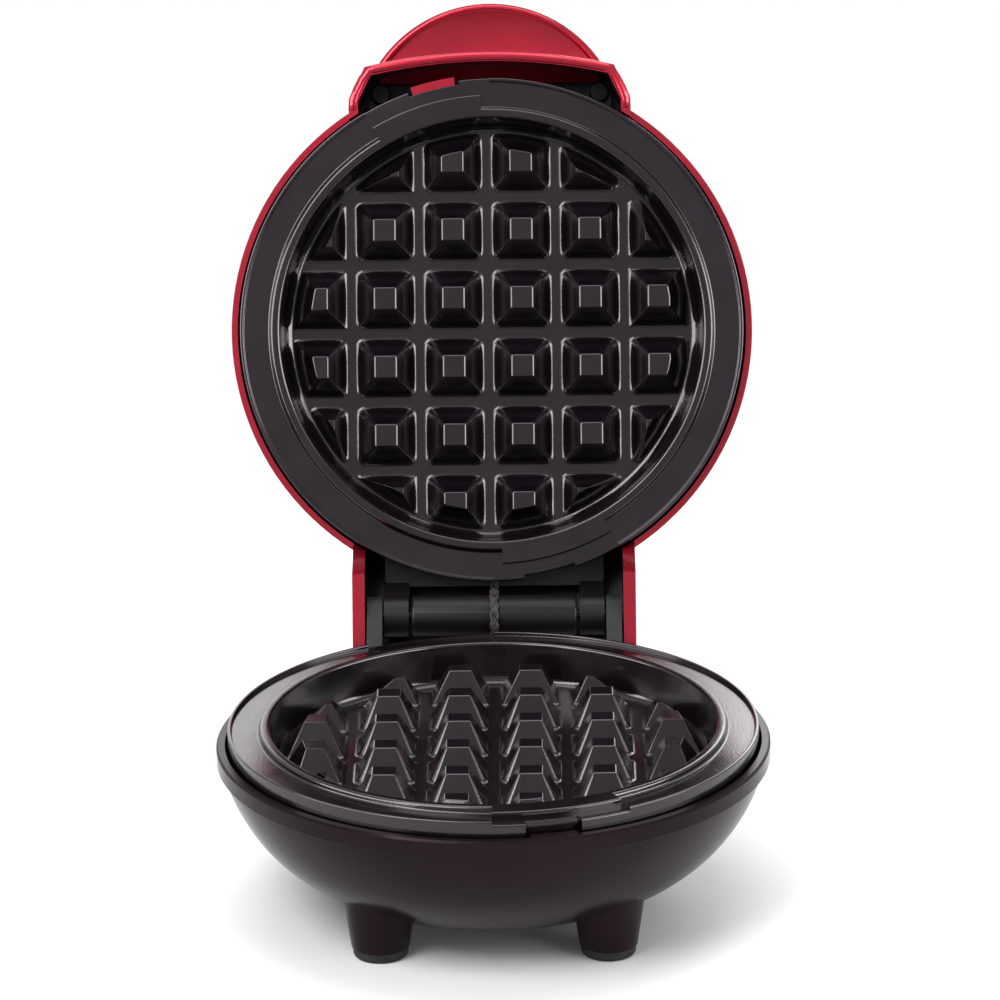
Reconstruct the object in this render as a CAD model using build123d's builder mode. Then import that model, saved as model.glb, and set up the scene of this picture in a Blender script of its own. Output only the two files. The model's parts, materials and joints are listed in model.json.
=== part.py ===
from build123d import *
import os
from math import cos, radians, sin, sqrt

os.makedirs("parts", exist_ok=True)

# A mini waffle maker that stands open: a round bowl on four feet and a lid that leans back.
# Sizes are in millimetres. The origin is on the table, in the middle of the whole outline.
# +X is to the right, +Y to the back and +Z up.

# The two halves and how they meet
OPEN_ANGLE = 110.0      # the lid's turn from shut to its open stop
TABLE_DROP = 34.5       # from the lower plate's floor down to the table
PARTING = 10.0          # from a plate's floor to the plane where the halves meet
BOWL_RIM_R = 64.2       # outside of the bowl's rim, the widest ring of the whole
HINGE_REACH = BOWL_RIM_R + 5.8      # from a plate's centre to the hinge line

# Cooking plates, one casting used twice
PLATE_R = BOWL_RIM_R - 2.7          # outside of the flange
FLOOR_R = PLATE_R - 11.3            # flat floor of the cavity
FLOOR_T = 2.4           # thickness of that floor
RIDGE_IN = PLATE_R - 9.7            # ridge round the cavity, inner and outer edge
RIDGE_OUT = PLATE_R - 7.5
RIDGE_TOP = 9.8
LEDGE_TOP = 8.3         # flat ring outside the ridge
FLANGE_T = 2.2
SKIRT_FOOT = 3.6        # lower edge of the flange's outer skirt
LIP_TOP = 9.2
LIP_W = 0.9
STEP_R = PLATE_R - 3.5              # outer edge of the raised step on two stretches of the ledge
STEP_ARC = 30.0
NOTCH_FROM = 7.0        # cut in the flange's edge, degrees from the middle of the front
NOTCH_ARC = 12.0
NOTCH_IN = PLATE_R - 2.1

# Waffle studs
STUD_PITCH = 16.75
STUD_ROWS = 6
STUD_BASE = 12.7
STUD_TIP = 5.4
STUD_H = 7.4
STUD_CORNER = 1.6
STUD_RING = FLOOR_R - 2.0           # studs end at this radius on the floor

# Base bowl
BOWL_WALL = 2.0
RIM_TOP = 5.5
RIM_FOOT = 1.2
BOWL_ROUND = 39.0       # radius of the bowl's side in section
BOWL_ROUND_X = BOWL_RIM_R - 39.2    # and how far its centre is from the axis
BOWL_BOTTOM = -25.0

# Feet
FRONT_FOOT_X = 26.0
FRONT_FOOT_Y = 31.2 - BOWL_RIM_R
REAR_FOOT_X = 22.0
REAR_FOOT_Y = BOWL_RIM_R - 14.2
FOOT_R = 6.7
FOOT_TOP_R = 8.7
PAD_H = 2.5
PAD_PEG_R = 2.0
PAD_PEG_H = 4.0

# Lid shell
LID_R = BOWL_RIM_R - 0.5
LID_WALL = 1.5
LID_TOP = -16.5         # top of the shut lid, measured from the upper plate's floor
LID_SHOULDER_R = LID_R - 11.7
LID_SHOULDER = -15.2
LID_SIDE_R = LID_R - 1.3
LID_SIDE = -8.0
LID_SIDE_END = 0.0

# Front visor and lifting tab
BOX_W = 68.8            # width of the front visor and of the hinge housing
BOX_WALL = 2.2
VISOR_RIM = 8.0
VISOR_BACK = -14.5
VISOR_CORNER = LID_R - 7.1          # where the side turns in
VISOR_FRONT_X = 30.5    # end of the front wall
VISOR_FRONT = LID_R + 0.9
VISOR_BULGE = 3.4
TAB_HALF = 28.0
TAB_ROOT = LID_R + 2.3
TAB_REACH = LID_R + 17.8
TAB_FACE = -7.0
TAB_T = 6.0
TAB_RIM = 1.8
TAB_DISH = 2.0
DOME_ROUND = 7.0        # rounding of the dome's shoulder and of the hinge housing

# Hinge
HOUSING_BACK = 10.3     # outside of the housing behind and above the hinge line
HOUSING_OUT = 7.0       # and on the base's side of it
HOUSING_DROP = 3.5      # its roof is this much lower than the dome's top
HOUSING_EDGE = -2.0     # its back wall ends here, short of the hinge line's level
HOUSING_RUN = 14.0      # its roof runs this far on into the dome
CHEEK_W = 3.0
EAR_IN = 27.2
EAR_W = 3.7
EAR_R = 5.0
BARREL_HALF = 20.2
BARREL_R = 5.1
KNUCKLE_IN = 20.8
KNUCKLE_W = 6.0
PIN_R = 1.5
PIN_GAP = 0.05
NECK_HALF = 26.8
NECK_END = HINGE_REACH - 7.4
NECK_TOP = 1.9
NECK_T = 1.9
NECK_SCREW_X = 22.0
NECK_SCREW_Y = 9.5 - PLATE_R
SLEEVE_W = 2.6
SLEEVE_T = 1.5
SLEEVE_FROM = 35.0      # its start behind the bowl's rim, in degrees below level
SLEEVE_ARC = 175.0

# Inside the halves
GAP = 0.05              # between pieces that are clamped together
SCREW_RING = FLOOR_R - 10.2
SCREW_START = 20.0      # the first screw's place on that ring, in degrees
SCREW_R = 1.5
HEAD_R = 2.6
HEAD_H = 1.4
BOSS_R = 4.0
HEATER_R = SCREW_RING - 9.5
HEATER_TUBE = 3.2
HEATER_ARC = 300.0
HEATER_END = 7.5        # its cold ends reach this far down from the tube's middle
HEATER_END_IN = 6.0     # degrees in from each end of the ring
HEATER_PIN_R = 1.6
LOWER_SHIELD_T = 0.8
UPPER_SHIELD_T = 0.5
SHIELD_R = FLOOR_R - 1.2
SHIELD_RIM = 2.6
BRACKET_T = 1.2
BRACKET_IN = SCREW_RING - 5.0
BRACKET_OUT = SCREW_RING + 5.0
ARM_W = 6.0
LID_SCREW_X = 27.0
LID_SCREW_Y = LID_R - 4.2
THERMOSTAT_R = 8.0
THERMOSTAT_H = 6.0
FUSE_R = 2.0
FUSE_L = 13.0
FUSE_Y = -20.0
BLOCK = (22.0, 11.0, 9.0)
BLOCK_Y = 16.0
GLAND_R = 4.6
GLAND_BORE = 3.2
GLAND_HEAD_R = 6.0
GLAND_Z = -12.0
GLAND_OUT = 9.0
CLAMP = (20.0, 6.0, 2.0)
CLAMP_POST_X = 7.0
CLAMP_Y = 30.0
CLAMP_LEVEL = -16.5
LENS_R = 3.0
LENS_Y = 30.0
LENS_HEAD = 0.8
LAMP_R = 1.9
LAMP_L = 10.0
LAMP_CAP = 1.2

# Directions of the lid as it stands open: along it from the hinge, and out of its cooking face
TILT = radians(OPEN_ANGLE)
ALONG = Vector(0, -cos(TILT), sin(TILT))
OUT = Vector(0, -sin(TILT), -cos(TILT))

# The bowl stands so far forward that the outline's middle falls on the origin. The tab's
# back corner is what reaches furthest behind the hinge.
TAB_BACK = TAB_FACE - TAB_T
BACK_REACH = (HINGE_REACH + TAB_REACH) * ALONG.Y + (TAB_BACK - PARTING) * OUT.Y
BOWL_Y = -(HINGE_REACH + BACK_REACH - BOWL_RIM_R) / 2
HINGE = Vector(0, BOWL_Y + HINGE_REACH, TABLE_DROP + PARTING)

# Each half has a home plane on its plate's floor, with its normal out of the cooking face
BASE = Plane(origin=(0, BOWL_Y, TABLE_DROP), x_dir=(1, 0, 0), z_dir=(0, 0, 1))
LID = Plane(origin=HINGE + ALONG * HINGE_REACH - OUT * PARTING, x_dir=(1, 0, 0), z_dir=OUT)
BASE_HINGE = Plane(origin=HINGE, x_dir=(0, 1, 0), z_dir=(1, 0, 0))
LID_HINGE = Plane(origin=HINGE, x_dir=ALONG, z_dir=(1, 0, 0))

SCREW_FACE = -(FLOOR_T + HEATER_TUBE * 2 + GAP)
BACK_ANGLE = 90.0
FRONT_ANGLE = 270.0
SIDES = (-1, 1)


def section(home, angle=0.0):
    """Upright plane through a half's axis: its X is the radius, its Y the height."""
    across = home.x_dir * cos(radians(angle)) + home.y_dir * sin(radians(angle))
    return Plane(origin=home.origin, x_dir=across, z_dir=across.cross(home.z_dir))


def axis_of(home):
    return Axis(home.origin, home.z_dir)


def ring(home, inner, outer, low, high, start=0.0, arc=360.0, mode=Mode.ADD):
    """A plain ring, or a stretch of one, between two radii and two heights."""
    with BuildSketch(section(home, start)) as profile:
        with Locations(((inner + outer) / 2, (low + high) / 2)):
            Rectangle(outer - inner, high - low)
    revolve(profile.sketch, axis=axis_of(home), revolution_arc=arc, mode=mode)


def inset(chain, wall):
    """An open chain of points moved to its left by the wall, with mitred corners."""
    lines = []
    for (ax, ay), (bx, by) in zip(chain, chain[1:]):
        length = sqrt((bx - ax) ** 2 + (by - ay) ** 2)
        shift = (-(by - ay) / length * wall, (bx - ax) / length * wall)
        lines.append(((ax + shift[0], ay + shift[1]), (bx + shift[0], by + shift[1])))
    moved = [lines[0][0]]
    for (a, b), (c, d) in zip(lines, lines[1:]):
        turn = (b[0] - a[0]) * (d[1] - c[1]) - (b[1] - a[1]) * (d[0] - c[0])
        part = ((c[0] - a[0]) * (d[1] - c[1]) - (c[1] - a[1]) * (d[0] - c[0])) / turn
        moved.append((a[0] + part * (b[0] - a[0]), a[1] + part * (b[1] - a[1])))
    moved.append(lines[-1][1])
    return moved


def finish(piece, name):
    """Name a finished piece and write it as one file."""
    piece.part.label = name
    export_step(piece.part, f"parts/{name}.step")


# One stud: a truncated pyramid with rounded corners, on the plane of the floor
with BuildPart() as stud:
    with BuildSketch(Plane.XY.offset(-GAP)):
        RectangleRounded(STUD_BASE, STUD_BASE, STUD_CORNER)
    with BuildSketch(Plane.XY.offset(STUD_H)):
        RectangleRounded(STUD_TIP, STUD_TIP, STUD_CORNER * STUD_TIP / STUD_BASE)
    loft()

# The studs of one plate, with those at the edge cut to the cavity's round shape
STUD_SLOPE = (STUD_BASE - STUD_TIP) / 2 / STUD_H
with BuildPart() as studs:
    with GridLocations(STUD_PITCH, STUD_PITCH, STUD_ROWS, STUD_ROWS):
        add(stud.part)
    with BuildSketch(section(Plane.XY)):
        with BuildLine():
            Polyline(
                (0, -GAP),
                (STUD_RING + STUD_SLOPE * GAP, -GAP),
                (STUD_RING - STUD_SLOPE * STUD_H, STUD_H),
                (0, STUD_H),
                close=True,
            )
        make_face()
    revolve(axis=Axis.Z, mode=Mode.INTERSECT)


def plate_casting(home):
    """A cooking plate: cavity with studs, ridge, ledge and skirt, and four screw bosses."""
    with BuildPart(home) as casting:
        with BuildSketch(section(home)):
            with BuildLine():
                Polyline(
                    (0, -FLOOR_T),
                    (FLOOR_R + FLANGE_T, -FLOOR_T),
                    (RIDGE_OUT, LEDGE_TOP - FLANGE_T),
                    (PLATE_R - FLANGE_T, LEDGE_TOP - FLANGE_T),
                    (PLATE_R - FLANGE_T, SKIRT_FOOT),
                    (PLATE_R, SKIRT_FOOT),
                    (PLATE_R, LIP_TOP - LIP_W / 3),
                    (PLATE_R - LIP_W / 3, LIP_TOP),
                    (PLATE_R - LIP_W, LIP_TOP),
                    (PLATE_R - LIP_W, LEDGE_TOP),
                    (RIDGE_OUT + LIP_W / 3, LEDGE_TOP),
                    (RIDGE_OUT, RIDGE_TOP),
                    (RIDGE_IN, RIDGE_TOP),
                    (FLOOR_R + LIP_W / 3, LIP_W),
                    (FLOOR_R - LIP_W, 0),
                    (0, 0),
                    close=True,
                )
            make_face()
        revolve(axis=axis_of(home))
        add(studs.part)
        for middle in (BACK_ANGLE, FRONT_ANGLE):
            ring(home, RIDGE_OUT, STEP_R, LEDGE_TOP - GAP, RIDGE_TOP, middle, STEP_ARC)
            ring(home, STEP_R + LIP_W, PLATE_R + 1, LEDGE_TOP, PARTING, middle, STEP_ARC,
                 mode=Mode.SUBTRACT)
            ring(home, NOTCH_IN, PLATE_R + 1, SKIRT_FOOT - 1, PARTING,
                 middle + NOTCH_FROM, NOTCH_ARC, mode=Mode.SUBTRACT)
        with BuildSketch(home.offset(-FLOOR_T)):
            with PolarLocations(SCREW_RING, 4, start_angle=SCREW_START):
                Circle(BOSS_R)
        extrude(amount=SCREW_FACE + FLOOR_T)
        with BuildSketch(home.offset(SCREW_FACE)):
            with PolarLocations(SCREW_RING, 4, start_angle=SCREW_START):
                Circle(SCREW_R + PIN_GAP)
        extrude(amount=-SCREW_FACE - FLOOR_T / 2, mode=Mode.SUBTRACT)
    return casting


def heater_ends():
    """Places of the two cold ends, a little way in from the ends of the ring."""
    half = (360 - HEATER_ARC) / 2 + HEATER_END_IN
    return [(HEATER_R * cos(radians(a)), HEATER_R * sin(radians(a))) for a in (half - 90, -half - 90)]


def heater(home):
    """A tubular heating element: an open ring against the plate's back, with two cold ends."""
    level = -FLOOR_T - GAP - HEATER_TUBE
    half_gap = (360 - HEATER_ARC) / 2
    with BuildPart(home) as element:
        with BuildSketch(section(home, half_gap - 90)):
            with Locations((HEATER_R, level)):
                Circle(HEATER_TUBE)
        revolve(axis=axis_of(home), revolution_arc=HEATER_ARC)
        with BuildSketch(home.offset(level)):
            with Locations(*heater_ends()):
                Circle(HEATER_PIN_R)
        extrude(amount=-HEATER_END)
    return element


def shield(home, thickness):
    """A thin dish behind the heating element, clamped under the plate's bosses."""
    top = SCREW_FACE - GAP
    with BuildPart(home) as dish:
        ring(home, 0, SHIELD_R, top - thickness, top)
        ring(home, SHIELD_R - thickness, SHIELD_R, top - thickness, top + SHIELD_RIM)
        with BuildSketch(home.offset(top - thickness - 1)):
            Circle(THERMOSTAT_R + 2)
            with PolarLocations(SCREW_RING, 4, start_angle=SCREW_START):
                Circle(SCREW_R + 0.2)
            with Locations(*heater_ends()):
                Circle(HEATER_PIN_R + 1)
        extrude(amount=thickness + 2, mode=Mode.SUBTRACT)
    return dish


def screws(home, places, face, length, way=-1):
    """Pan-head screws at several places, with their heads on a face and shanks going one way."""
    with BuildPart(home) as group:
        with BuildSketch(home.offset(face)):
            with Locations(*places):
                Circle(HEAD_R)
        extrude(amount=-way * HEAD_H)
        with BuildSketch(home.offset(face)):
            with Locations(*places):
                Circle(SCREW_R)
        extrude(amount=way * length)
        heads = group.faces().filter_by(GeomType.PLANE).group_by(Axis(home.origin, home.z_dir * -way))
        chamfer(heads[-1].edges(), HEAD_H / 3)
    return group


def ring_places(radius, count, start):
    return [(radius * cos(radians(start + i * 360 / count)), radius * sin(radians(start + i * 360 / count)))
            for i in range(count)]


def bowl_r(height, wall=0.0):
    """Radius of the bowl's rounded side at a height."""
    return BOWL_ROUND_X + sqrt((BOWL_ROUND - wall) ** 2 - (height - PARTING) ** 2)


# Base shell: a deep round bowl with a stepped rim, four hollow-topped legs and two hinge ears
inner_floor = BOWL_BOTTOM + BOWL_WALL
FEET = {
    "front_left": (-FRONT_FOOT_X, FRONT_FOOT_Y),
    "front_right": (FRONT_FOOT_X, FRONT_FOOT_Y),
    "rear_left": (-REAR_FOOT_X, REAR_FOOT_Y),
    "rear_right": (REAR_FOOT_X, REAR_FOOT_Y),
}
leg_foot = PAD_H - TABLE_DROP
post_places = ring_places(SCREW_RING, 4, SCREW_START)
post_top = SCREW_FACE - GAP * 2 - LOWER_SHIELD_T
head_seat = BOWL_BOTTOM + HEAD_H + 4

with BuildPart(BASE) as base_shell:
    with BuildSketch(section(BASE)):
        with BuildLine():
            Polyline(
                (bowl_r(RIM_FOOT), RIM_FOOT),
                (BOWL_RIM_R, RIM_FOOT + 0.4),
                (BOWL_RIM_R, RIM_TOP - 0.5),
                (BOWL_RIM_R - 0.5, RIM_TOP),
                (0, RIM_TOP),
                (0, BOWL_BOTTOM),
                (bowl_r(BOWL_BOTTOM), BOWL_BOTTOM),
            )
            ThreePointArc(
                (bowl_r(BOWL_BOTTOM), BOWL_BOTTOM),
                (bowl_r(BOWL_BOTTOM / 2), BOWL_BOTTOM / 2),
                (bowl_r(RIM_FOOT), RIM_FOOT),
            )
        make_face()
    revolve(axis=axis_of(BASE))
    for x, y in FEET.values():
        reach = sqrt(x * x + y * y) + FOOT_TOP_R
        leg_top = PARTING - sqrt(BOWL_ROUND ** 2 - (reach - BOWL_ROUND_X) ** 2) + 1
        with BuildSketch(BASE.offset(leg_foot)):
            with Locations((x, y)):
                Circle(FOOT_R)
        with BuildSketch(BASE.offset(leg_top)):
            with Locations((x, y)):
                Circle(FOOT_TOP_R)
        loft()
    with BuildSketch(section(BASE)):
        with BuildLine():
            Polyline(
                (bowl_r(RIM_FOOT, BOWL_WALL), RIM_FOOT),
                (BOWL_RIM_R - BOWL_WALL, RIM_FOOT + 1),
                (BOWL_RIM_R - BOWL_WALL, PARTING),
                (0, PARTING),
                (0, inner_floor),
                (bowl_r(inner_floor, BOWL_WALL), inner_floor),
            )
            ThreePointArc(
                (bowl_r(inner_floor, BOWL_WALL), inner_floor),
                (bowl_r(inner_floor / 2, BOWL_WALL), inner_floor / 2),
                (bowl_r(RIM_FOOT, BOWL_WALL), RIM_FOOT),
            )
        make_face()
    revolve(axis=axis_of(BASE), mode=Mode.SUBTRACT)
    # peg holes for the feet
    with BuildSketch(BASE.offset(leg_foot)):
        with Locations(*FEET.values()):
            Circle(PAD_PEG_R + PIN_GAP)
    extrude(amount=PAD_PEG_H + 0.5, mode=Mode.SUBTRACT)
    # posts that carry the lower plate, each with a sunk screw seat below
    with BuildSketch(BASE.offset(inner_floor - 0.5)):
        with Locations(*post_places):
            Circle(BOSS_R + 0.6)
    extrude(amount=post_top - inner_floor + 0.5)
    with BuildSketch(BASE.offset(BOWL_BOTTOM)):
        with Locations(*post_places):
            Circle(SCREW_R + 0.2)
    extrude(amount=post_top - BOWL_BOTTOM, mode=Mode.SUBTRACT)
    with BuildSketch(BASE.offset(leg_foot)):
        with Locations(*post_places):
            Circle(HEAD_R + 0.2)
    extrude(amount=head_seat - leg_foot, mode=Mode.SUBTRACT)
    # posts for the cord clamp
    with BuildSketch(BASE.offset(inner_floor - 0.5)):
        with Locations((-CLAMP_POST_X, CLAMP_Y), (CLAMP_POST_X, CLAMP_Y)):
            Circle(SCREW_R + 1)
    extrude(amount=CLAMP_LEVEL - inner_floor + 0.5)
    with BuildSketch(BASE.offset(CLAMP_LEVEL)):
        with Locations((-CLAMP_POST_X, CLAMP_Y), (CLAMP_POST_X, CLAMP_Y)):
            Circle(SCREW_R + PIN_GAP)
    extrude(amount=-5, mode=Mode.SUBTRACT)
    # a short tab behind each notch in the plate's edge
    ring(BASE, NOTCH_IN + 1, BOWL_RIM_R - BOWL_WALL + 0.5, RIM_FOOT + 1.5, RIM_TOP,
         FRONT_ANGLE + NOTCH_FROM + 1, NOTCH_ARC - 2)
    # round hole for the cord's gland
    with BuildSketch(Plane(origin=BASE.origin + Vector(0, 0, GLAND_Z), x_dir=(1, 0, 0), z_dir=(0, 1, 0))):
        Circle(GLAND_R + PIN_GAP)
    extrude(amount=BOWL_RIM_R, mode=Mode.SUBTRACT)
    # ears for the hinge pin
    ear_root = (sqrt(BOWL_RIM_R ** 2 - (EAR_IN + EAR_W) ** 2) - HINGE_REACH - 0.6, RIM_TOP - PARTING)
    for side in SIDES:
        ear_face = EAR_IN if side > 0 else -EAR_IN - EAR_W
        with BuildSketch(BASE_HINGE.offset(ear_face)):
            Circle(EAR_R)
            with BuildLine():
                Polyline(
                    ear_root,
                    (-EAR_R * 0.55, EAR_R * 0.83),
                    (EAR_R * 0.1, -EAR_R * 0.99),
                    (ear_root[0], -PARTING - 6),
                    close=True,
                )
            make_face()
            Circle(PIN_R + PIN_GAP, mode=Mode.SUBTRACT)
        extrude(amount=EAR_W)
finish(base_shell, "base_shell")

# Rubber feet: a round pad with a softened lower edge and a peg that holds it in the leg
for name, (x, y) in FEET.items():
    with BuildPart(BASE) as foot_pad:
        with BuildSketch(BASE.offset(-TABLE_DROP)):
            with Locations((x, y)):
                Circle(FOOT_R - 0.4)
        extrude(amount=PAD_H)
        fillet(foot_pad.edges().group_by(Axis.Z)[0], PAD_H * 0.4)
        with BuildSketch(BASE.offset(leg_foot)):
            with Locations((x, y)):
                Circle(PAD_PEG_R)
        extrude(amount=PAD_PEG_H)
    finish(foot_pad, f"foot_pad_{name}")

# Lower half, from the plate down
finish(plate_casting(BASE), "lower_plate")
finish(heater(BASE), "lower_heating_element")
finish(shield(BASE, LOWER_SHIELD_T), "lower_heat_shield")
screw_length = SCREW_FACE - FLOOR_T / 2 - head_seat + 5
finish(screws(BASE, post_places, head_seat, screw_length, way=1), "base_screws")

# Thermostat can under the plate's centre, with its two blades
THERMOSTAT_FLANGE = THERMOSTAT_H * 0.4
CAN_R = THERMOSTAT_R * 0.8
with BuildPart(BASE) as thermostat:
    plate_back = -FLOOR_T - GAP
    ring(BASE, 0, THERMOSTAT_R, plate_back - THERMOSTAT_FLANGE, plate_back)
    ring(BASE, 0, CAN_R, plate_back - THERMOSTAT_H, plate_back - THERMOSTAT_FLANGE)
    with BuildSketch(BASE.offset(plate_back - THERMOSTAT_H)):
        with GridLocations(THERMOSTAT_R, 0, 2, 1):
            Rectangle(0.8, 4)
    extrude(amount=-THERMOSTAT_H * 0.8)
finish(thermostat, "thermostat")

# Strap that presses the thermostat's flange to the plate
with BuildPart(BASE) as thermostat_clip:
    with BuildSketch(BASE.offset(plate_back - THERMOSTAT_FLANGE - GAP)):
        SlotOverall(THERMOSTAT_R * 3.2, THERMOSTAT_R * 2)
        Circle(CAN_R + GAP, mode=Mode.SUBTRACT)
        with GridLocations(THERMOSTAT_R * 2.5, 0, 2, 1):
            Circle(1, mode=Mode.SUBTRACT)
    extrude(amount=-0.8)
finish(thermostat_clip, "thermostat_clip")

# Thermal fuse across the plate's back, in front of the thermostat
with BuildPart(BASE) as thermal_fuse:
    fuse_level = plate_back - FUSE_R
    with BuildSketch(Plane(origin=BASE.origin + Vector(0, FUSE_Y, fuse_level), z_dir=(1, 0, 0))):
        Circle(FUSE_R)
    extrude(amount=FUSE_L / 2, both=True)
    with BuildSketch(Plane(origin=BASE.origin + Vector(0, FUSE_Y, fuse_level), z_dir=(1, 0, 0))):
        Circle(FUSE_R / 4)
    extrude(amount=FUSE_L, both=True)
finish(thermal_fuse, "thermal_fuse")

# Ceramic terminal block on the bowl's floor, with two wire bores and two screw pits
with BuildPart(BASE) as terminal_block:
    with BuildSketch(BASE.offset(inner_floor + GAP)):
        with Locations((0, BLOCK_Y)):
            Rectangle(BLOCK[0], BLOCK[1])
    extrude(amount=BLOCK[2])
    block_middle = BASE.origin + Vector(0, BLOCK_Y, inner_floor + BLOCK[2] / 2)
    with BuildSketch(Plane(origin=block_middle, z_dir=(0, 1, 0))):
        with GridLocations(0, BLOCK[0] / 2, 1, 2):
            Circle(BLOCK[2] / 5)
        with GridLocations(BLOCK[0] / 2, 0, 2, 1):
            Circle(BLOCK[2] / 5)
    extrude(amount=BLOCK[1], both=True, mode=Mode.SUBTRACT)
finish(terminal_block, "terminal_block")

# Gland through the bowl's back wall: a flanged bush, where a cord would come out
gland_wall = bowl_r(GLAND_Z)
with BuildPart(BASE) as cable_gland:
    gland_home = Plane(origin=BASE.origin + Vector(0, 0, GLAND_Z), x_dir=(1, 0, 0), z_dir=(0, 1, 0))
    with BuildSketch(gland_home.offset(gland_wall - BOWL_WALL * 3)):
        Circle(GLAND_R)
    extrude(amount=BOWL_WALL * 3 + GLAND_OUT)
    with BuildSketch(gland_home.offset(bowl_r(GLAND_Z + GLAND_HEAD_R) + GAP)):
        Circle(GLAND_HEAD_R)
    extrude(amount=BOWL_WALL)
    with BuildSketch(gland_home.offset(gland_wall - BOWL_WALL * 4)):
        Circle(GLAND_BORE)
    extrude(amount=BOWL_WALL * 5 + GLAND_OUT, mode=Mode.SUBTRACT)
finish(cable_gland, "cable_gland")

# Clamp bar that would hold a cord on two posts, and its screws
clamp_places = [(side * CLAMP_POST_X, CLAMP_Y) for side in SIDES]
with BuildPart(BASE) as cord_clamp:
    with BuildSketch(BASE.offset(CLAMP_LEVEL + GAP)):
        with Locations((0, CLAMP_Y)):
            SlotOverall(CLAMP[0], CLAMP[1])
        with Locations(*clamp_places):
            Circle(SCREW_R + 0.2, mode=Mode.SUBTRACT)
    extrude(amount=CLAMP[2])
finish(cord_clamp, "cord_clamp")
finish(screws(BASE, clamp_places, CLAMP_LEVEL + GAP * 2 + CLAMP[2], CLAMP[2] + 4), "clamp_screws")

# Hinge: a steel pin held in the ears, and a black tube round its middle
with BuildPart(BASE_HINGE) as hinge_pin:
    with BuildSketch(BASE_HINGE):
        Circle(PIN_R)
    extrude(amount=EAR_IN + EAR_W, both=True)
finish(hinge_pin, "hinge_pin")

with BuildPart(BASE_HINGE) as hinge_barrel:
    with BuildSketch(BASE_HINGE):
        Circle(BARREL_R)
        Circle(PIN_R + PIN_GAP, mode=Mode.SUBTRACT)
    extrude(amount=BARREL_HALF, both=True)
    chamfer(hinge_barrel.edges().filter_by(GeomType.CIRCLE).group_by(SortBy.RADIUS)[-1], 0.5)
finish(hinge_barrel, "hinge_barrel")

# Glass-fibre sleeve with the lid's wires, laid over the front of the barrel
with BuildPart(BASE_HINGE) as wire_sleeve:
    with BuildSketch(section(BASE_HINGE, 180 + SLEEVE_FROM)):
        with Locations((BARREL_R + GAP + SLEEVE_T / 2, 0)):
            RectangleRounded(SLEEVE_T, SLEEVE_W, SLEEVE_T * 0.4)
    revolve(axis=axis_of(BASE_HINGE), revolution_arc=-SLEEVE_ARC)
finish(wire_sleeve, "wire_sleeve")


# Lid shell: a domed cap, with a front visor, a lifting tab and a hinge housing
def dome(wall, mode):
    """The dome's solid, or with a wall the hollow inside it."""
    chain = [
        (0, LID_TOP),
        (LID_SHOULDER_R, LID_SHOULDER),
        (LID_SIDE_R, LID_SIDE),
        (LID_R, LID_SIDE_END),
        (LID_R, RIM_TOP),
    ]
    if wall:
        chain = inset(chain, wall)
        chain[0] = (0, chain[0][1])
        chain[-1] = (chain[-1][0], PARTING)
    with BuildSketch(section(LID)) as profile:
        with BuildLine() as outline:
            FilletPolyline(*chain, radius=DOME_ROUND - wall)
            Polyline(chain[-1], (0, chain[-1][1]), chain[0])
        make_face(outline.edges())
    revolve(profile.sketch, axis=axis_of(LID), mode=mode)


def visor(wall, low, high, mode):
    """The front visor's block, or with a wall the hollow inside it."""
    half = BOX_W / 2
    right = [(half, 0), (half, VISOR_CORNER), (VISOR_FRONT_X, VISOR_FRONT)]
    chain = right + [(0, VISOR_FRONT + VISOR_BULGE)] + [(-x, y) for x, y in reversed(right)]
    if wall:
        chain = inset(chain, wall)
    with BuildSketch(LID.offset(low)) as plan:
        with BuildLine() as outline:
            Polyline(*chain[:3])
            ThreePointArc(*chain[2:5])
            Polyline(*chain[4:], chain[0])
        make_face(outline.edges())
    extrude(plan.sketch, amount=high - low, mode=mode)


def housing(wall, half_width, mode):
    """The hinge housing's block, or with a wall the hollow inside it, open to the base."""
    root = HINGE_REACH - LID_SHOULDER_R
    far = root + HOUSING_RUN
    back = wall - HOUSING_BACK
    roof = LID_TOP - PARTING + HOUSING_DROP + wall
    if wall:
        past = -HOUSING_BACK - wall
        edge = [(back, HOUSING_EDGE), (past, HOUSING_EDGE)]
        edge += [(past, HOUSING_OUT + wall), (root, HOUSING_OUT + wall)]
    else:
        edge = [(back, HOUSING_OUT), (-back, HOUSING_OUT), (root, RIM_TOP - PARTING)]
        edge += [(far, RIM_TOP - PARTING)]
    with BuildSketch(LID_HINGE) as side:
        with BuildLine() as outline:
            Polyline((far, roof), (back, back), *edge, close=True)
        make_face(outline.edges())
        fillet(side.vertices().sort_by_distance((back, back))[0], DOME_ROUND - wall)
    extrude(side.sketch, amount=half_width, both=True, mode=mode)


def tab(rim, low, high, mode):
    """The lifting tab in plan, or the dish inside its rim."""
    with BuildSketch(LID.offset(low)) as plan:
        with BuildLine() as outline:
            ThreePointArc((TAB_HALF - rim, TAB_ROOT), (0, TAB_REACH - rim), (rim - TAB_HALF, TAB_ROOT))
            Polyline((rim - TAB_HALF, TAB_ROOT), (rim - TAB_HALF, VISOR_CORNER),
                     (TAB_HALF - rim, VISOR_CORNER), (TAB_HALF - rim, TAB_ROOT))
        make_face(outline.edges())
    extrude(plan.sketch, amount=high - low, mode=mode)


lid_screw_places = [(side * LID_SCREW_X, LID_SCREW_Y) for side in SIDES]
neck_screw_places = [(side * NECK_SCREW_X, NECK_SCREW_Y) for side in SIDES]
bracket_face = SCREW_FACE - GAP * 2 - UPPER_SHIELD_T
bracket_back = bracket_face - BRACKET_T
neck_back = NECK_TOP - NECK_T
neck_boss_foot = LID_TOP + HOUSING_DROP + BOX_WALL * 0.8
cheek_in = BOX_W / 2 - CHEEK_W

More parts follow.
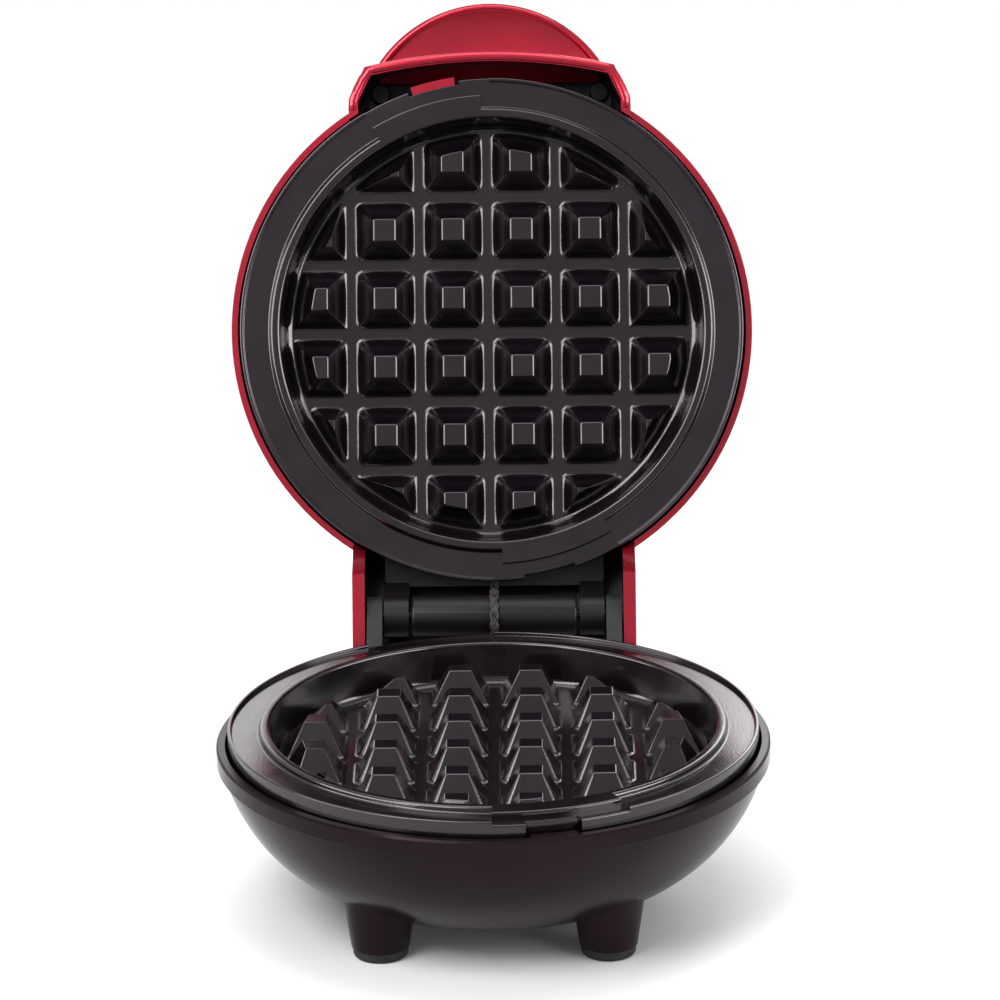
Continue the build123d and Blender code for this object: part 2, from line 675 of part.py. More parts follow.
with BuildPart(LID) as lid_shell:
    dome(0, Mode.ADD)
    tab(0, TAB_BACK, TAB_FACE, Mode.ADD)
    tab(TAB_RIM, TAB_FACE - TAB_DISH, TAB_FACE, Mode.SUBTRACT)
    visor(0, VISOR_BACK, VISOR_RIM, Mode.ADD)
    housing(0, BOX_W / 2, Mode.ADD)
    dome(LID_WALL, Mode.SUBTRACT)
    visor(BOX_WALL, VISOR_BACK + BOX_WALL, VISOR_RIM, Mode.SUBTRACT)
    housing(BOX_WALL, cheek_in, Mode.SUBTRACT)
    # bosses for the bracket's screws in front, and for the neck cover's behind
    with BuildSketch(LID.offset(VISOR_BACK)):
        with Locations(*lid_screw_places):
            Circle(SCREW_R + 1.6)
    extrude(amount=bracket_back - GAP - VISOR_BACK)
    with BuildSketch(LID.offset(VISOR_BACK + 1)):
        with Locations(*lid_screw_places):
            Circle(SCREW_R + PIN_GAP)
    extrude(amount=-VISOR_BACK, mode=Mode.SUBTRACT)
    with BuildSketch(LID.offset(neck_boss_foot)):
        with Locations(*neck_screw_places):
            Circle(SCREW_R + 1.6)
    extrude(amount=neck_back - GAP - neck_boss_foot)
    with BuildSketch(LID.offset(neck_back)):
        with Locations(*neck_screw_places):
            Circle(SCREW_R + PIN_GAP)
    extrude(amount=(neck_boss_foot - neck_back) * 0.7, mode=Mode.SUBTRACT)
    # a curved rib on the visor's back, whose end shows in the notch of the plate's edge
    ring(LID, NOTCH_IN + 1, LID_R - LID_WALL + 0.5, VISOR_BACK + BOX_WALL / 2, RIM_TOP,
         BACK_ANGLE + NOTCH_FROM + 1, NOTCH_ARC - 2)
    # seat for the indicator's lens
    with BuildSketch(LID.offset(LID_TOP - 1)):
        with Locations((0, LENS_Y)):
            Circle(LENS_R + PIN_GAP)
    extrude(amount=-LID_TOP / 2, mode=Mode.SUBTRACT)
finish(lid_shell, "lid_shell")

# Neck cover: a thin black panel between the cheeks, with two arms that end in hinge knuckles
with BuildPart(LID) as neck_cover:
    with BuildSketch(LID.offset(neck_back)) as panel:
        with Locations((0, -NECK_END / 2)):
            Rectangle(NECK_HALF * 2, NECK_END)
        fillet(panel.vertices().group_by(Axis.Y)[0], NECK_T)
        Circle(RIDGE_OUT - 0.2, mode=Mode.SUBTRACT)
    extrude(amount=NECK_T)
    with BuildSketch(LID.offset(neck_back)):
        with Locations(*neck_screw_places):
            Circle(SCREW_R + 0.2)
    extrude(amount=NECK_T, mode=Mode.SUBTRACT)
    for side in SIDES:
        with BuildSketch(LID_HINGE.offset(KNUCKLE_IN if side > 0 else -KNUCKLE_IN - KNUCKLE_W)):
            Circle(BARREL_R)
            with BuildLine():
                Polyline(
                    (BARREL_R * 0.5, -BARREL_R * 0.86),
                    (BARREL_R * 0.9, BARREL_R * 0.4),
                    (HINGE_REACH - NECK_END + 1, NECK_TOP - PARTING),
                    (HINGE_REACH - NECK_END + 1, neck_back - PARTING),
                    (0, -BARREL_R * 0.98),
                    close=True,
                )
            make_face()
            Circle(PIN_R + PIN_GAP, mode=Mode.SUBTRACT)
        extrude(amount=KNUCKLE_W)
finish(neck_cover, "neck_cover")

# Upper half, from the plate to the bracket that carries it
finish(plate_casting(LID), "upper_plate")
finish(heater(LID), "upper_heating_element")
finish(shield(LID, UPPER_SHIELD_T), "upper_heat_shield")
with BuildPart(LID) as upper_bracket:
    with BuildSketch(LID.offset(bracket_face)) as bracket_plan:
        Circle(BRACKET_OUT)
        with Locations(*lid_screw_places):
            Circle(ARM_W / 2)
        for side in SIDES:
            with Locations((side * LID_SCREW_X, (LID_SCREW_Y + BRACKET_IN) / 2)):
                Rectangle(ARM_W, LID_SCREW_Y - BRACKET_IN)
        Circle(BRACKET_IN, mode=Mode.SUBTRACT)
        with Locations(*lid_screw_places, *post_places):
            Circle(SCREW_R + 0.2, mode=Mode.SUBTRACT)
    extrude(amount=-BRACKET_T)
finish(upper_bracket, "upper_bracket")
screw_length = -bracket_back - FLOOR_T / 2 - 1
finish(screws(LID, post_places, bracket_back - GAP, screw_length, way=1), "upper_plate_screws")
finish(screws(LID, lid_screw_places, bracket_face + GAP, BRACKET_T + 2), "lid_screws")
finish(screws(LID, neck_screw_places, NECK_TOP + GAP, NECK_T + 5), "neck_screws")

# Indicator: a clear lens in the lid's top, and a small lamp in a clip behind it
lens_roof = LID_TOP + (LID_SHOULDER - LID_TOP) * LENS_Y / LID_SHOULDER_R
with BuildPart(LID) as indicator_lens:
    with BuildSketch(LID.offset(lens_roof - LENS_HEAD)):
        with Locations((0, LENS_Y)):
            Circle(LENS_R + 1)
    extrude(amount=LENS_HEAD - 0.2)
    with BuildSketch(LID.offset(lens_roof - LENS_HEAD)):
        with Locations((0, LENS_Y)):
            Circle(LENS_R)
    extrude(amount=LENS_HEAD + LID_WALL)
finish(indicator_lens, "indicator_lens")

# Lamp behind the lens, held between the two caps of a small clip
lamp_home = Plane(origin=LID.offset(bracket_face - LAMP_R - 0.3).from_local_coords((0, LENS_Y, 0)),
                  x_dir=LID.z_dir, z_dir=LID.x_dir)
with BuildPart(lamp_home) as indicator_lamp:
    with BuildSketch(lamp_home):
        Circle(LAMP_R)
    extrude(amount=LAMP_L / 2, both=True)
    fillet(indicator_lamp.edges().filter_by(GeomType.CIRCLE), LAMP_R / 3)
finish(indicator_lamp, "indicator_lamp")

with BuildPart(lamp_home) as lamp_clip:
    for side in SIDES:
        with BuildSketch(lamp_home.offset(side * (LAMP_L / 2 + GAP))):
            Circle(LAMP_R)
            with Locations((0, LAMP_R + LAMP_CAP / 2)):
                Rectangle(LAMP_R, LAMP_CAP * 2)
        extrude(amount=side * LAMP_CAP)
    with BuildSketch(lamp_home):
        with Locations((0, LAMP_R + LAMP_CAP)):
            Rectangle(LAMP_R, LAMP_CAP)
    extrude(amount=LAMP_L / 2 + LAMP_CAP / 2, both=True)
finish(lamp_clip, "lamp_clip")
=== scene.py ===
# %% [markdown]
# # A mini waffle maker that stands open
#
# The machine has two halves. A black bowl on four rubber feet carries the lower cooking plate, and
# a red lacquered lid carries the upper one. The lid leans back on its hinge, so that both cooking
# faces are seen at once.
#
# The measured model is loaded first and never changes. This lesson dresses it: edges get the small
# rounding that moulds and castings leave, and every surface gets a finish made of nodes.

# %% Load the measured model
import json
import math
import bmesh
import bpy
from mathutils import Matrix, Vector


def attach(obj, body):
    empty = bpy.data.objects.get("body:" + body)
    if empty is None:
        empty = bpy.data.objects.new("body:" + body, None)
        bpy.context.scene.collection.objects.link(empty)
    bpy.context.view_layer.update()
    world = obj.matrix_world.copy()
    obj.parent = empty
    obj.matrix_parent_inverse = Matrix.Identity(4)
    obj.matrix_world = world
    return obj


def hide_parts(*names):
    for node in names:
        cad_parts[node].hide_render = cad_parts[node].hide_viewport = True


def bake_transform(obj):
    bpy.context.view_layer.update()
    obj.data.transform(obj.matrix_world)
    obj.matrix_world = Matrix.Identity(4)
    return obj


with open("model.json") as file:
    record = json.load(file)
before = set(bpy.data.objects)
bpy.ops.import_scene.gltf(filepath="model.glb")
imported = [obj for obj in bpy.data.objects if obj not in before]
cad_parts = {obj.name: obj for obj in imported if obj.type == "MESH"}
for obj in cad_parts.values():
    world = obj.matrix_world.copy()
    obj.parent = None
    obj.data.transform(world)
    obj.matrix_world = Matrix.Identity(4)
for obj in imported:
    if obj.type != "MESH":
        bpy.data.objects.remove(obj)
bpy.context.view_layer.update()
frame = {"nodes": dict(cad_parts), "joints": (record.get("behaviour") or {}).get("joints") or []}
nodes = frame["nodes"]
MM = 0.001

# %% [markdown]
# ## Where the two halves are
#
# Each half is easiest to model round its own plate's centre, so each gets a home matrix. The base's
# home is upright. The lid's home is turned about the hinge: its X runs to the right, its Y away from
# the hinge and its Z out of the cooking face. Both follow from the hinge line, which the loaded
# model knows. Typing in numbers would also work, but they would go stale if the model changed.

# %% Homes of the base and of the lid
HINGE = Vector(frame["joints"][0]["pos_m"])
REACH = 70 * MM
PARTING = 10 * MM
TILT = math.radians(110)
along = Vector((0, -math.cos(TILT), math.sin(TILT)))
out = Vector((0, -math.sin(TILT), -math.cos(TILT)))
BASE = Matrix.Translation(HINGE - Vector((0, REACH, PARTING)))
LID = Matrix.Translation(HINGE + along * REACH - out * PARTING) @ Matrix(
    (Vector((1, 0, 0)), along, out)).transposed().to_4x4()
print("base home", BASE.translation[:], "lid home", LID.translation[:])

# %% [markdown]
# ## Small tools for finishes
#
# A finish starts from the one shader that most real surfaces need. What is the same all over the
# surface is set on that shader directly. What varies, such as mottling, grain or wear, comes from
# noise on Object coordinates, which are metres here, so a scale of 1000 gives marks of about 1 mm.
# Generated coordinates would stretch with each piece's own size, so they are left alone.

# %% Tools for finishes
def finish(name, colour, roughness, metal=0.0, coat=0.0, coat_roughness=0.05, shine=0.5):
    """A new material and its shader, with the values that don't vary."""
    material = bpy.data.materials.new(name)
    material.use_nodes = True
    shader = material.node_tree.nodes["Principled BSDF"]
    shader.inputs["Base Color"].default_value = (*colour, 1)
    shader.inputs["Roughness"].default_value = roughness
    shader.inputs["Metallic"].default_value = metal
    shader.inputs["Specular IOR Level"].default_value = shine
    shader.inputs["Coat Weight"].default_value = coat
    shader.inputs["Coat Roughness"].default_value = coat_roughness
    return material, shader


def pattern(material, kind, scale, stretch=(1, 1, 1), **settings):
    """A noise or cell pattern on Object coordinates. Returns its node."""
    tree = material.node_tree
    spots = tree.nodes.new("ShaderNodeTexCoord")
    turn = tree.nodes.new("ShaderNodeMapping")
    turn.inputs["Scale"].default_value = stretch
    texture = tree.nodes.new(kind)
    texture.inputs["Scale"].default_value = scale
    for key, value in settings.items():
        texture.inputs[key.replace("_", " ")].default_value = value
    tree.links.new(spots.outputs["Object"], turn.inputs["Vector"])
    tree.links.new(turn.outputs["Vector"], texture.inputs["Vector"])
    return texture


def spread(material, source, low, high, target, start=0.3, end=0.7):
    """Maps a pattern's middle values to a range and feeds a shader's socket."""
    tree = material.node_tree
    ramp = tree.nodes.new("ShaderNodeMapRange")
    ramp.inputs["From Min"].default_value = start
    ramp.inputs["From Max"].default_value = end
    ramp.inputs["To Min"].default_value = low
    ramp.inputs["To Max"].default_value = high
    tree.links.new(source, ramp.inputs["Value"])
    tree.links.new(ramp.outputs["Result"], target)


def tint(material, shader, source, dark, light, start=0.3, end=0.7):
    """Mixes two colours by a pattern and feeds the shader's colour."""
    tree = material.node_tree
    ramp = tree.nodes.new("ShaderNodeValToRGB")
    ramp.color_ramp.elements[0].position = start
    ramp.color_ramp.elements[1].position = end
    ramp.color_ramp.elements[0].color = (*dark, 1)
    ramp.color_ramp.elements[1].color = (*light, 1)
    tree.links.new(source, ramp.inputs["Fac"])
    tree.links.new(ramp.outputs["Color"], shader.inputs["Base Color"])


def relief(material, shader, source, height, strength):
    """Fine bump from a pattern, with its height in metres."""
    tree = material.node_tree
    bump = tree.nodes.new("ShaderNodeBump")
    bump.inputs["Distance"].default_value = height
    bump.inputs["Strength"].default_value = strength
    tree.links.new(source, bump.inputs["Height"])
    tree.links.new(bump.outputs["Normal"], shader.inputs["Normal"])


# %% [markdown]
# ## Red lacquer of the lid
#
# The lid is sprayed: a red coat with fine metal flakes, and clear lacquer over it. A flake can be
# drawn as a cell of a Voronoi pattern that is much smaller than a millimetre. Each cell gets its own
# shade, and a little of the flakes' tilt goes into the bump. The clear coat is smooth, so it has its
# own sharp highlight over the soft metallic one.

# %% Red lacquer
red, shader = finish("red_lacquer", (0.33, 0.008, 0.022), 0.3, metal=0.75, coat=0.6, coat_roughness=0.05)
shader.inputs["Specular Tint"].default_value = (1.0, 0.16, 0.22, 1)
flakes = pattern(red, "ShaderNodeTexVoronoi", 9000)
clouds = pattern(red, "ShaderNodeTexNoise", 60, Detail=3.0)
tint(red, shader, flakes.outputs["Color"], (0.22, 0.003, 0.013), (0.38, 0.008, 0.028), 0.15, 0.85)
spread(red, clouds.outputs["Fac"], 0.25, 0.33, shader.inputs["Roughness"])
relief(red, shader, flakes.outputs["Distance"], 0.00001, 0.2)
print("finish", red.name)

# %% [markdown]
# ## Dark coating of the plates
#
# The plates are cast aluminium under a sprayed non-stick coat. It is nearly black with a slight
# violet cast, and it shines softly because the coat keeps a fine orange-peel skin. Two sizes of
# noise give that skin: one of about half a millimetre, and a broader one that the spray leaves.

# %% Non-stick coating
coating, shader = finish("non_stick", (0.0035, 0.0025, 0.0035), 0.15, shine=0.5)
shader.inputs["Specular Tint"].default_value = (1.0, 0.91, 0.96, 1)
peel = pattern(coating, "ShaderNodeTexNoise", 1800, Detail=2.0)
drift = pattern(coating, "ShaderNodeTexNoise", 90, Detail=4.0)
tint(coating, shader, drift.outputs["Fac"], (0.0026, 0.0016, 0.0026), (0.0048, 0.0032, 0.0050))
spread(coating, drift.outputs["Fac"], 0.13, 0.19, shader.inputs["Roughness"])
relief(coating, shader, peel.outputs["Fac"], 0.00006, 0.35)
print("finish", coating.name)

# %% [markdown]
# ## Gloss black of the bowl
#
# The bowl is injection moulded in a polished tool. The plastic is a warm black that mirrors the
# bright room softly. Moulded walls are never quite flat, so a very broad, very low bump bends the
# reflections a little, and a faint haze changes the roughness from place to place.

# %% Gloss plastic
gloss, shader = finish("gloss_black", (0.008, 0.004, 0.005), 0.2, shine=0.1)
shader.inputs["Specular Tint"].default_value = (1.0, 0.80, 0.86, 1)
haze = pattern(gloss, "ShaderNodeTexNoise", 35, Detail=4.0)
wave = pattern(gloss, "ShaderNodeTexNoise", 45, Detail=0.0)
tint(gloss, shader, haze.outputs["Fac"], (0.0062, 0.0032, 0.0042), (0.0105, 0.0055, 0.0068))
spread(gloss, haze.outputs["Fac"], 0.16, 0.26, shader.inputs["Roughness"])
relief(gloss, shader, wave.outputs["Fac"], 0.0002, 0.3)
print("finish", gloss.name)

# %% [markdown]
# ## Other plastics and rubber
#
# Small black mouldings have a spark-eroded grain, which is fine noise with a clear depth. Rubber is
# duller and dusty, so its noise is coarser and its roughness higher.

# %% Matt plastic and rubber
matt, shader = finish("matt_black", (0.005, 0.0042, 0.0055), 0.36, shine=0.17)
grain = pattern(matt, "ShaderNodeTexNoise", 2600, Detail=3.0)
tint(matt, shader, grain.outputs["Fac"], (0.0035, 0.0025, 0.0036), (0.007, 0.0052, 0.0072))
spread(matt, grain.outputs["Fac"], 0.30, 0.44, shader.inputs["Roughness"])
relief(matt, shader, grain.outputs["Fac"], 0.00005, 0.5)

rubber, shader = finish("foot_rubber", (0.007, 0.006, 0.0062), 0.55, shine=0.25)
dust = pattern(rubber, "ShaderNodeTexNoise", 300, Detail=6.0)
tint(rubber, shader, dust.outputs["Fac"], (0.0045, 0.004, 0.0041), (0.010, 0.0092, 0.0093))
spread(rubber, dust.outputs["Fac"], 0.45, 0.65, shader.inputs["Roughness"])
relief(rubber, shader, dust.outputs["Fac"], 0.00012, 0.4)
print("finishes", matt.name, rubber.name)

# %% [markdown]
# ## Metals
#
# The machine holds plated screws, a blackened pin and bracket, rolled sheet and heated tube. All of
# them are drawn or rolled, and the lines of that show as roughness that runs one way. Noise that is
# stretched along one axis gives such lines, so one tool with other colours serves them all. The
# hidden metal gets the same care, because the halves can be taken apart and looked at from inside.


# %% Metals
def metal(name, dark, light, rough, stretch):
    """Bare metal with drawn or rolled lines along the axis that isn't stretched."""
    material, shader = finish(name, light, rough, metal=1.0)
    lines = pattern(material, "ShaderNodeTexNoise", 900, stretch, Detail=5.0)
    stain = pattern(material, "ShaderNodeTexNoise", 120, Detail=4.0)
    tint(material, shader, stain.outputs["Fac"], dark, light, 0.35, 0.6)
    spread(material, lines.outputs["Fac"], rough * 0.8, rough * 1.3, shader.inputs["Roughness"])
    relief(material, shader, lines.outputs["Fac"], 0.00002, 0.3)
    return material


black_oxide = metal("blackened_steel", (0.010, 0.009, 0.010), (0.026, 0.024, 0.026), 0.32, (1, 0.05, 1))
steel = metal("zinc_steel", (0.42, 0.42, 0.43), (0.60, 0.60, 0.62), 0.28, (1, 0.05, 1))
sheet = metal("rolled_aluminium", (0.62, 0.62, 0.63), (0.80, 0.80, 0.81), 0.34, (0.05, 1, 1))
element = metal("heated_steel", (0.13, 0.10, 0.085), (0.34, 0.31, 0.29), 0.38, (1, 1, 0.2))
nickel = metal("nickel", (0.45, 0.42, 0.38), (0.66, 0.62, 0.56), 0.25, (1, 1, 0.3))
print("metals", steel.name, sheet.name, element.name, nickel.name)

# %% [markdown]
# ## Ceramic, glass fibre and the indicator
#
# The terminal block is unglazed ceramic: pale, rough and speckled. The sleeve over the hinge is
# woven glass fibre that has gone dark with grease. The indicator is a clear red lens over a small
# lamp, so its light passes through instead of being painted on.

# %% Ceramic, sleeve and indicator
ceramic, shader = finish("unglazed_ceramic", (0.78, 0.75, 0.68), 0.7)
speck = pattern(ceramic, "ShaderNodeTexNoise", 900, Detail=6.0)
tint(ceramic, shader, speck.outputs["Fac"], (0.62, 0.58, 0.51), (0.84, 0.81, 0.75), 0.35, 0.55)
relief(ceramic, shader, speck.outputs["Fac"], 0.00012, 0.5)

woven, shader = finish("glass_fibre", (0.03, 0.025, 0.024), 0.6, shine=0.25)
thread = pattern(woven, "ShaderNodeTexNoise", 2400, (0.3, 1, 1), Detail=3.0)
tint(woven, shader, thread.outputs["Fac"], (0.008, 0.0065, 0.0065), (0.060, 0.050, 0.048), 0.35, 0.75)
relief(woven, shader, thread.outputs["Fac"], 0.0001, 0.6)

lens, shader = finish("lens_red", (0.85, 0.10, 0.06), 0.08, coat=0.3)
shader.inputs["Transmission Weight"].default_value = 0.75
shader.inputs["IOR"].default_value = 1.49
ripple = pattern(lens, "ShaderNodeTexNoise", 500, Detail=1.0)
spread(lens, ripple.outputs["Fac"], 0.05, 0.14, shader.inputs["Roughness"])
relief(lens, shader, ripple.outputs["Fac"], 0.00005, 0.3)

bulb, shader = finish("lamp_glass", (0.95, 0.55, 0.35), 0.12)
shader.inputs["Transmission Weight"].default_value = 0.6
smoke = pattern(bulb, "ShaderNodeTexNoise", 700, Detail=3.0)
tint(bulb, shader, smoke.outputs["Fac"], (0.80, 0.36, 0.20), (0.97, 0.66, 0.45))
print("finishes", ceramic.name, woven.name, lens.name, bulb.name)


# %% [markdown]
# ## Rounding edges
#
# The loaded meshes have knife edges, and nothing real has. Such an edge never catches the light, so
# the piece looks like a drawing. A copy of the mesh is merged first, because it comes as loose
# triangles. Flat areas are dissolved into single faces, and a Bevel modifier then rounds every edge
# that is sharper than a set angle. Building each piece again from primitives would give the same
# shape after much more work, and it could drift from the measured one.

# %% Tool: a copy with rounded edges
MERGE = 0.002
EDGE_ANGLE = 32
EDGE_SEGMENTS = 3


def rounded(node, name, body, material, width, flat=0.5):
    """A merged copy of a node with softened edges, which stands for that node."""
    bm = bmesh.new()
    bm.from_mesh(nodes[node].data)
    bmesh.ops.remove_doubles(bm, verts=bm.verts, dist=MERGE * MM)
    bmesh.ops.dissolve_limit(bm, angle_limit=math.radians(flat), verts=bm.verts, edges=bm.edges)
    mesh = bpy.data.meshes.new(name)
    bm.to_mesh(mesh)
    bm.free()
    mesh.materials.clear()
    mesh.materials.append(material)
    mesh.shade_smooth()
    mesh.set_sharp_from_angle(angle=math.radians(EDGE_ANGLE))
    piece = bpy.data.objects.new(name, mesh)
    bpy.context.scene.collection.objects.link(piece)
    soften = piece.modifiers.new("soft_edges", "BEVEL")
    soften.width = width * MM
    soften.segments = EDGE_SEGMENTS
    soften.limit_method = "ANGLE"
    soften.angle_limit = math.radians(EDGE_ANGLE)
    soften.harden_normals = True
    soften.use_clamp_overlap = True
    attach(piece, body)
    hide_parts(node)
    print(name, "faces", len(mesh.polygons))


# %% [markdown]
# ## Cooking plates
#
# Both plates come from one casting: a round cavity with a grid of blunt studs, a ridge round it, a
# flat ledge and an outer skirt. The coating fills every corner, so each stud flows into the floor
# with a small fillet, and these fillets are what shows in the photograph as fine pale lines. The
# bevel above can't add them, because the measured mesh has many short edges that would stop it.
# The plates are modelled again instead, from the same sizes. What is round comes from a section that
# is spun about the middle, with the corners of the section rounded first.

# %% Tool: a turned shape
STEPS_PER_DEGREE = 0.53


def section_face(points, rounds):
    """A face in the XZ plane from (radius, height) pairs in millimetres, with rounded corners."""
    bm = bmesh.new()
    verts = [bm.verts.new((radius * MM, 0, height * MM)) for radius, height in points]
    bm.faces.new(verts)
    for size in sorted(set(rounds.values())):
        corners = [verts[number] for number, value in rounds.items() if value == size]
        bmesh.ops.bevel(bm, geom=corners, offset=size * MM, offset_type="OFFSET", affect="VERTICES",
                        segments=4, profile=0.5, material=-1, clamp_overlap=True)
    return bm


def turned(points, rounds, start=0.0, arc=360.0):
    """Spins a section about Z: a closed ring, or a capped stretch of one from an angle."""
    bm = section_face(points, rounds)
    whole = arc >= 360
    if whole:
        bmesh.ops.delete(bm, geom=bm.faces[:], context="FACES_ONLY")
        on_axis = [edge for edge in bm.edges if all(vert.co.x < 1e-7 for vert in edge.verts)]
        bmesh.ops.delete(bm, geom=on_axis, context="EDGES")
    bmesh.ops.rotate(bm, verts=bm.verts, cent=(0, 0, 0),
                     matrix=Matrix.Rotation(math.radians(start), 3, "Z"))
    bmesh.ops.spin(bm, geom=bm.verts[:] + bm.edges[:] + bm.faces[:], cent=(0, 0, 0), axis=(0, 0, 1),
                   dvec=(0, 0, 0), angle=math.radians(arc), steps=max(4, round(arc * STEPS_PER_DEGREE)),
                   use_merge=whole, use_duplicate=False)
    bmesh.ops.remove_doubles(bm, verts=bm.verts, dist=0.001 * MM)
    bmesh.ops.recalc_face_normals(bm, faces=bm.faces)
    return bm


def gather(parts):
    """Joins several bmeshes into one mesh datablock and frees them."""
    whole = bmesh.new()
    for part in parts:
        spare = bpy.data.meshes.new("spare")
        part.to_mesh(spare)
        part.free()
        whole.from_mesh(spare)
        bpy.data.meshes.remove(spare)
    return whole


# %% [markdown]
# ## Outline of a stud
#
# Each stud is a blunt pyramid, and those at the edge are trimmed by the round cavity. Seen from above
# at one height, a stud is a square that is cut by a circle and has rounded corners. The circle is made
# of many straight cuts, of which only the few that touch the square do anything.

# %% Tool: the outline of a stud at one height
PITCH = 16.75
STUD_HALF = 6.75
STUD_TOP = 7.4
LEAN = 0.55
STUD_RING = 48.4
FOOT_CORNER = 1.5
TOP_CORNER = 0.35
FOOT_DEPTH = -0.2
TRIM_STEP = 5
CORNER_TURN = 20
LEAST_AREA = 1.2


def outline(x, y, height, corner):
    """Points round a stud at a height: a square, trimmed to the round cavity, its corners rounded."""
    half = STUD_HALF - LEAN * height
    reach = STUD_RING - LEAN * height
    bm = bmesh.new()
    bmesh.ops.create_grid(bm, x_segments=1, y_segments=1, size=half * MM,
                          matrix=Matrix.Translation(Vector((x, y, height)) * MM))
    if math.hypot(abs(x) + half, abs(y) + half) > reach:
        for step in range(360 // TRIM_STEP):
            angle = math.radians(step * TRIM_STEP)
            side = Vector((math.cos(angle), math.sin(angle), 0))
            bmesh.ops.bisect_plane(bm, geom=bm.verts[:] + bm.edges[:] + bm.faces[:], dist=1e-7,
                                   plane_co=side * reach * MM, plane_no=side, clear_outer=True)
    bmesh.ops.remove_doubles(bm, verts=bm.verts, dist=0.02 * MM)
    area = sum(face.calc_area() for face in bm.faces)
    if area < LEAST_AREA * MM * MM:
        bm.free()
        return []
    corners = [vert for vert in bm.verts if vert.calc_edge_angle(0) > math.radians(CORNER_TURN)]
    bmesh.ops.bevel(bm, geom=corners, offset=corner * MM, offset_type="OFFSET", affect="VERTICES",
                    segments=5, profile=0.5, material=-1, clamp_overlap=True)
    points = [vert.co.copy() for vert in bm.verts]
    bm.free()
    return points


# %% [markdown]
# ## A stud and its fillet
#
# The outline at the foot and the one at the top are wrapped in a convex hull, which gives clean
# sloping walls whatever the circle has cut off. The top edge is bevelled. For the fillet, the wall is
# sliced at a few levels, and each slice is pushed outwards by what an arc between wall and floor asks
# for there, so the wall runs into the floor in a curve.

# %% Tool: one stud
LEAST_SPAN = 5
LEAST_HEIGHT = 2
LOWER_BY = 0.4
BROW_R = 0.62
FILLET_R = 1.5
FILLET_STEPS = 5
WALL_ANGLE = math.atan2(1, LEAN)
FILLET_FOOT = FILLET_R * math.tan(WALL_ANGLE / 2)
FILLET = []
for step in range(FILLET_STEPS + 1):
    turn = WALL_ANGLE * step / FILLET_STEPS
    level = FILLET_R * (1 - math.cos(turn))
    FILLET.append((level, FILLET_FOOT - FILLET_R * math.sin(turn) + LEAN * level))


def stud(x, y):
    """A blunt pyramid over a grid place, flowing into the floor. None where too little is left."""
    foot = outline(x, y, 0, FOOT_CORNER)
    if not foot:
        return None
    span = max(abs(point.x - foot[0].x) + abs(point.y - foot[0].y) for point in foot)
    if span < LEAST_SPAN * MM:
        return None
    height = STUD_TOP
    top = outline(x, y, height, TOP_CORNER)
    while not top and height > LEAST_HEIGHT:
        height -= LOWER_BY
        top = outline(x, y, height, TOP_CORNER)
    if not top:
        return None
    bm = bmesh.new()
    for point in foot:
        bm.verts.new((point.x, point.y, FOOT_DEPTH * MM))
    for point in foot + top:
        bm.verts.new(point)
    hull = bmesh.ops.convex_hull(bm, input=bm.verts[:])
    bmesh.ops.delete(bm, geom=list({item for item in hull["geom_interior"] + hull["geom_unused"]
                                    if isinstance(item, bmesh.types.BMVert)}), context="VERTS")
    bmesh.ops.dissolve_limit(bm, angle_limit=math.radians(1), verts=bm.verts, edges=bm.edges)
    bmesh.ops.recalc_face_normals(bm, faces=bm.faces)
    brow = [edge for edge in bm.edges if len(edge.link_faces) == 2
            and min(vert.co.z for vert in edge.verts) > (height - 0.01) * MM
            and edge.calc_face_angle() > math.radians(CORNER_TURN)]
    bmesh.ops.bevel(bm, geom=brow, offset=BROW_R * MM, offset_type="OFFSET", affect="EDGES", segments=4,
                    profile=0.5, material=-1, clamp_overlap=True)
    for level, _ in FILLET:
        bmesh.ops.bisect_plane(bm, geom=bm.verts[:] + bm.edges[:] + bm.faces[:], dist=1e-7,
                               plane_co=(0, 0, level * MM), plane_no=(0, 0, 1))
    bm.normal_update()
    ways = {vert: Vector((vert.normal.x, vert.normal.y, 0)).normalized() for vert in bm.verts}
    for level, push in FILLET:
        for vert, way in ways.items():
            if abs(vert.co.z - level * MM) < 0.003 * MM or (level == 0 and vert.co.z < 0):
                vert.co += way * push * MM
    return bm


# %% [markdown]
# ## The casting
#
# The plate is the same all the way round except on two stretches, at the back and at the front. There
# the ledge has a raised step and no lip, and the skirt has a notch. So the floor and the ledge are one
# full turn, and the skirt is made of stretches that meet end to end. Screw bosses stand on the
# underside.

# %% Sections of the casting, as radius and height
FLOOR_R, FLOOR_UNDER_R, FLOOR_T = 50.4, 52.4, 2.4
RIDGE_IN, RIDGE_OUT, RIDGE_TOP = 51.8, 54, 9.8
LEDGE_IN, LEDGE_TOP, LEDGE_UNDER = 54.3, 8.3, 6.1
SKIRT_IN, PLATE_R, SKIRT_FOOT = 59.3, 61.5, 3.6
LIP_IN, LIP_TOP = 60.6, 9.2
STEP_IN, STEP_OUT, STEP_FOOT, STEP_TOP = 53.0, 57.4, 8.2, 9.82
BOSS_R, BOSS_ROOT, BOSS_END = 4, -2.0, -8.85
FLOOR = [(0, -FLOOR_T), (FLOOR_UNDER_R, -FLOOR_T), (RIDGE_OUT, LEDGE_UNDER), (SKIRT_IN, LEDGE_UNDER),
         (SKIRT_IN, LEDGE_TOP), (LEDGE_IN, LEDGE_TOP), (RIDGE_OUT, RIDGE_TOP), (RIDGE_IN, RIDGE_TOP),
         (FLOOR_R, 0), (0, 0)]
LIPPED = [(SKIRT_IN, SKIRT_FOOT), (PLATE_R, SKIRT_FOOT), (PLATE_R, LIP_TOP), (LIP_IN, LIP_TOP),
          (LIP_IN, LEDGE_TOP), (SKIRT_IN, LEDGE_TOP)]
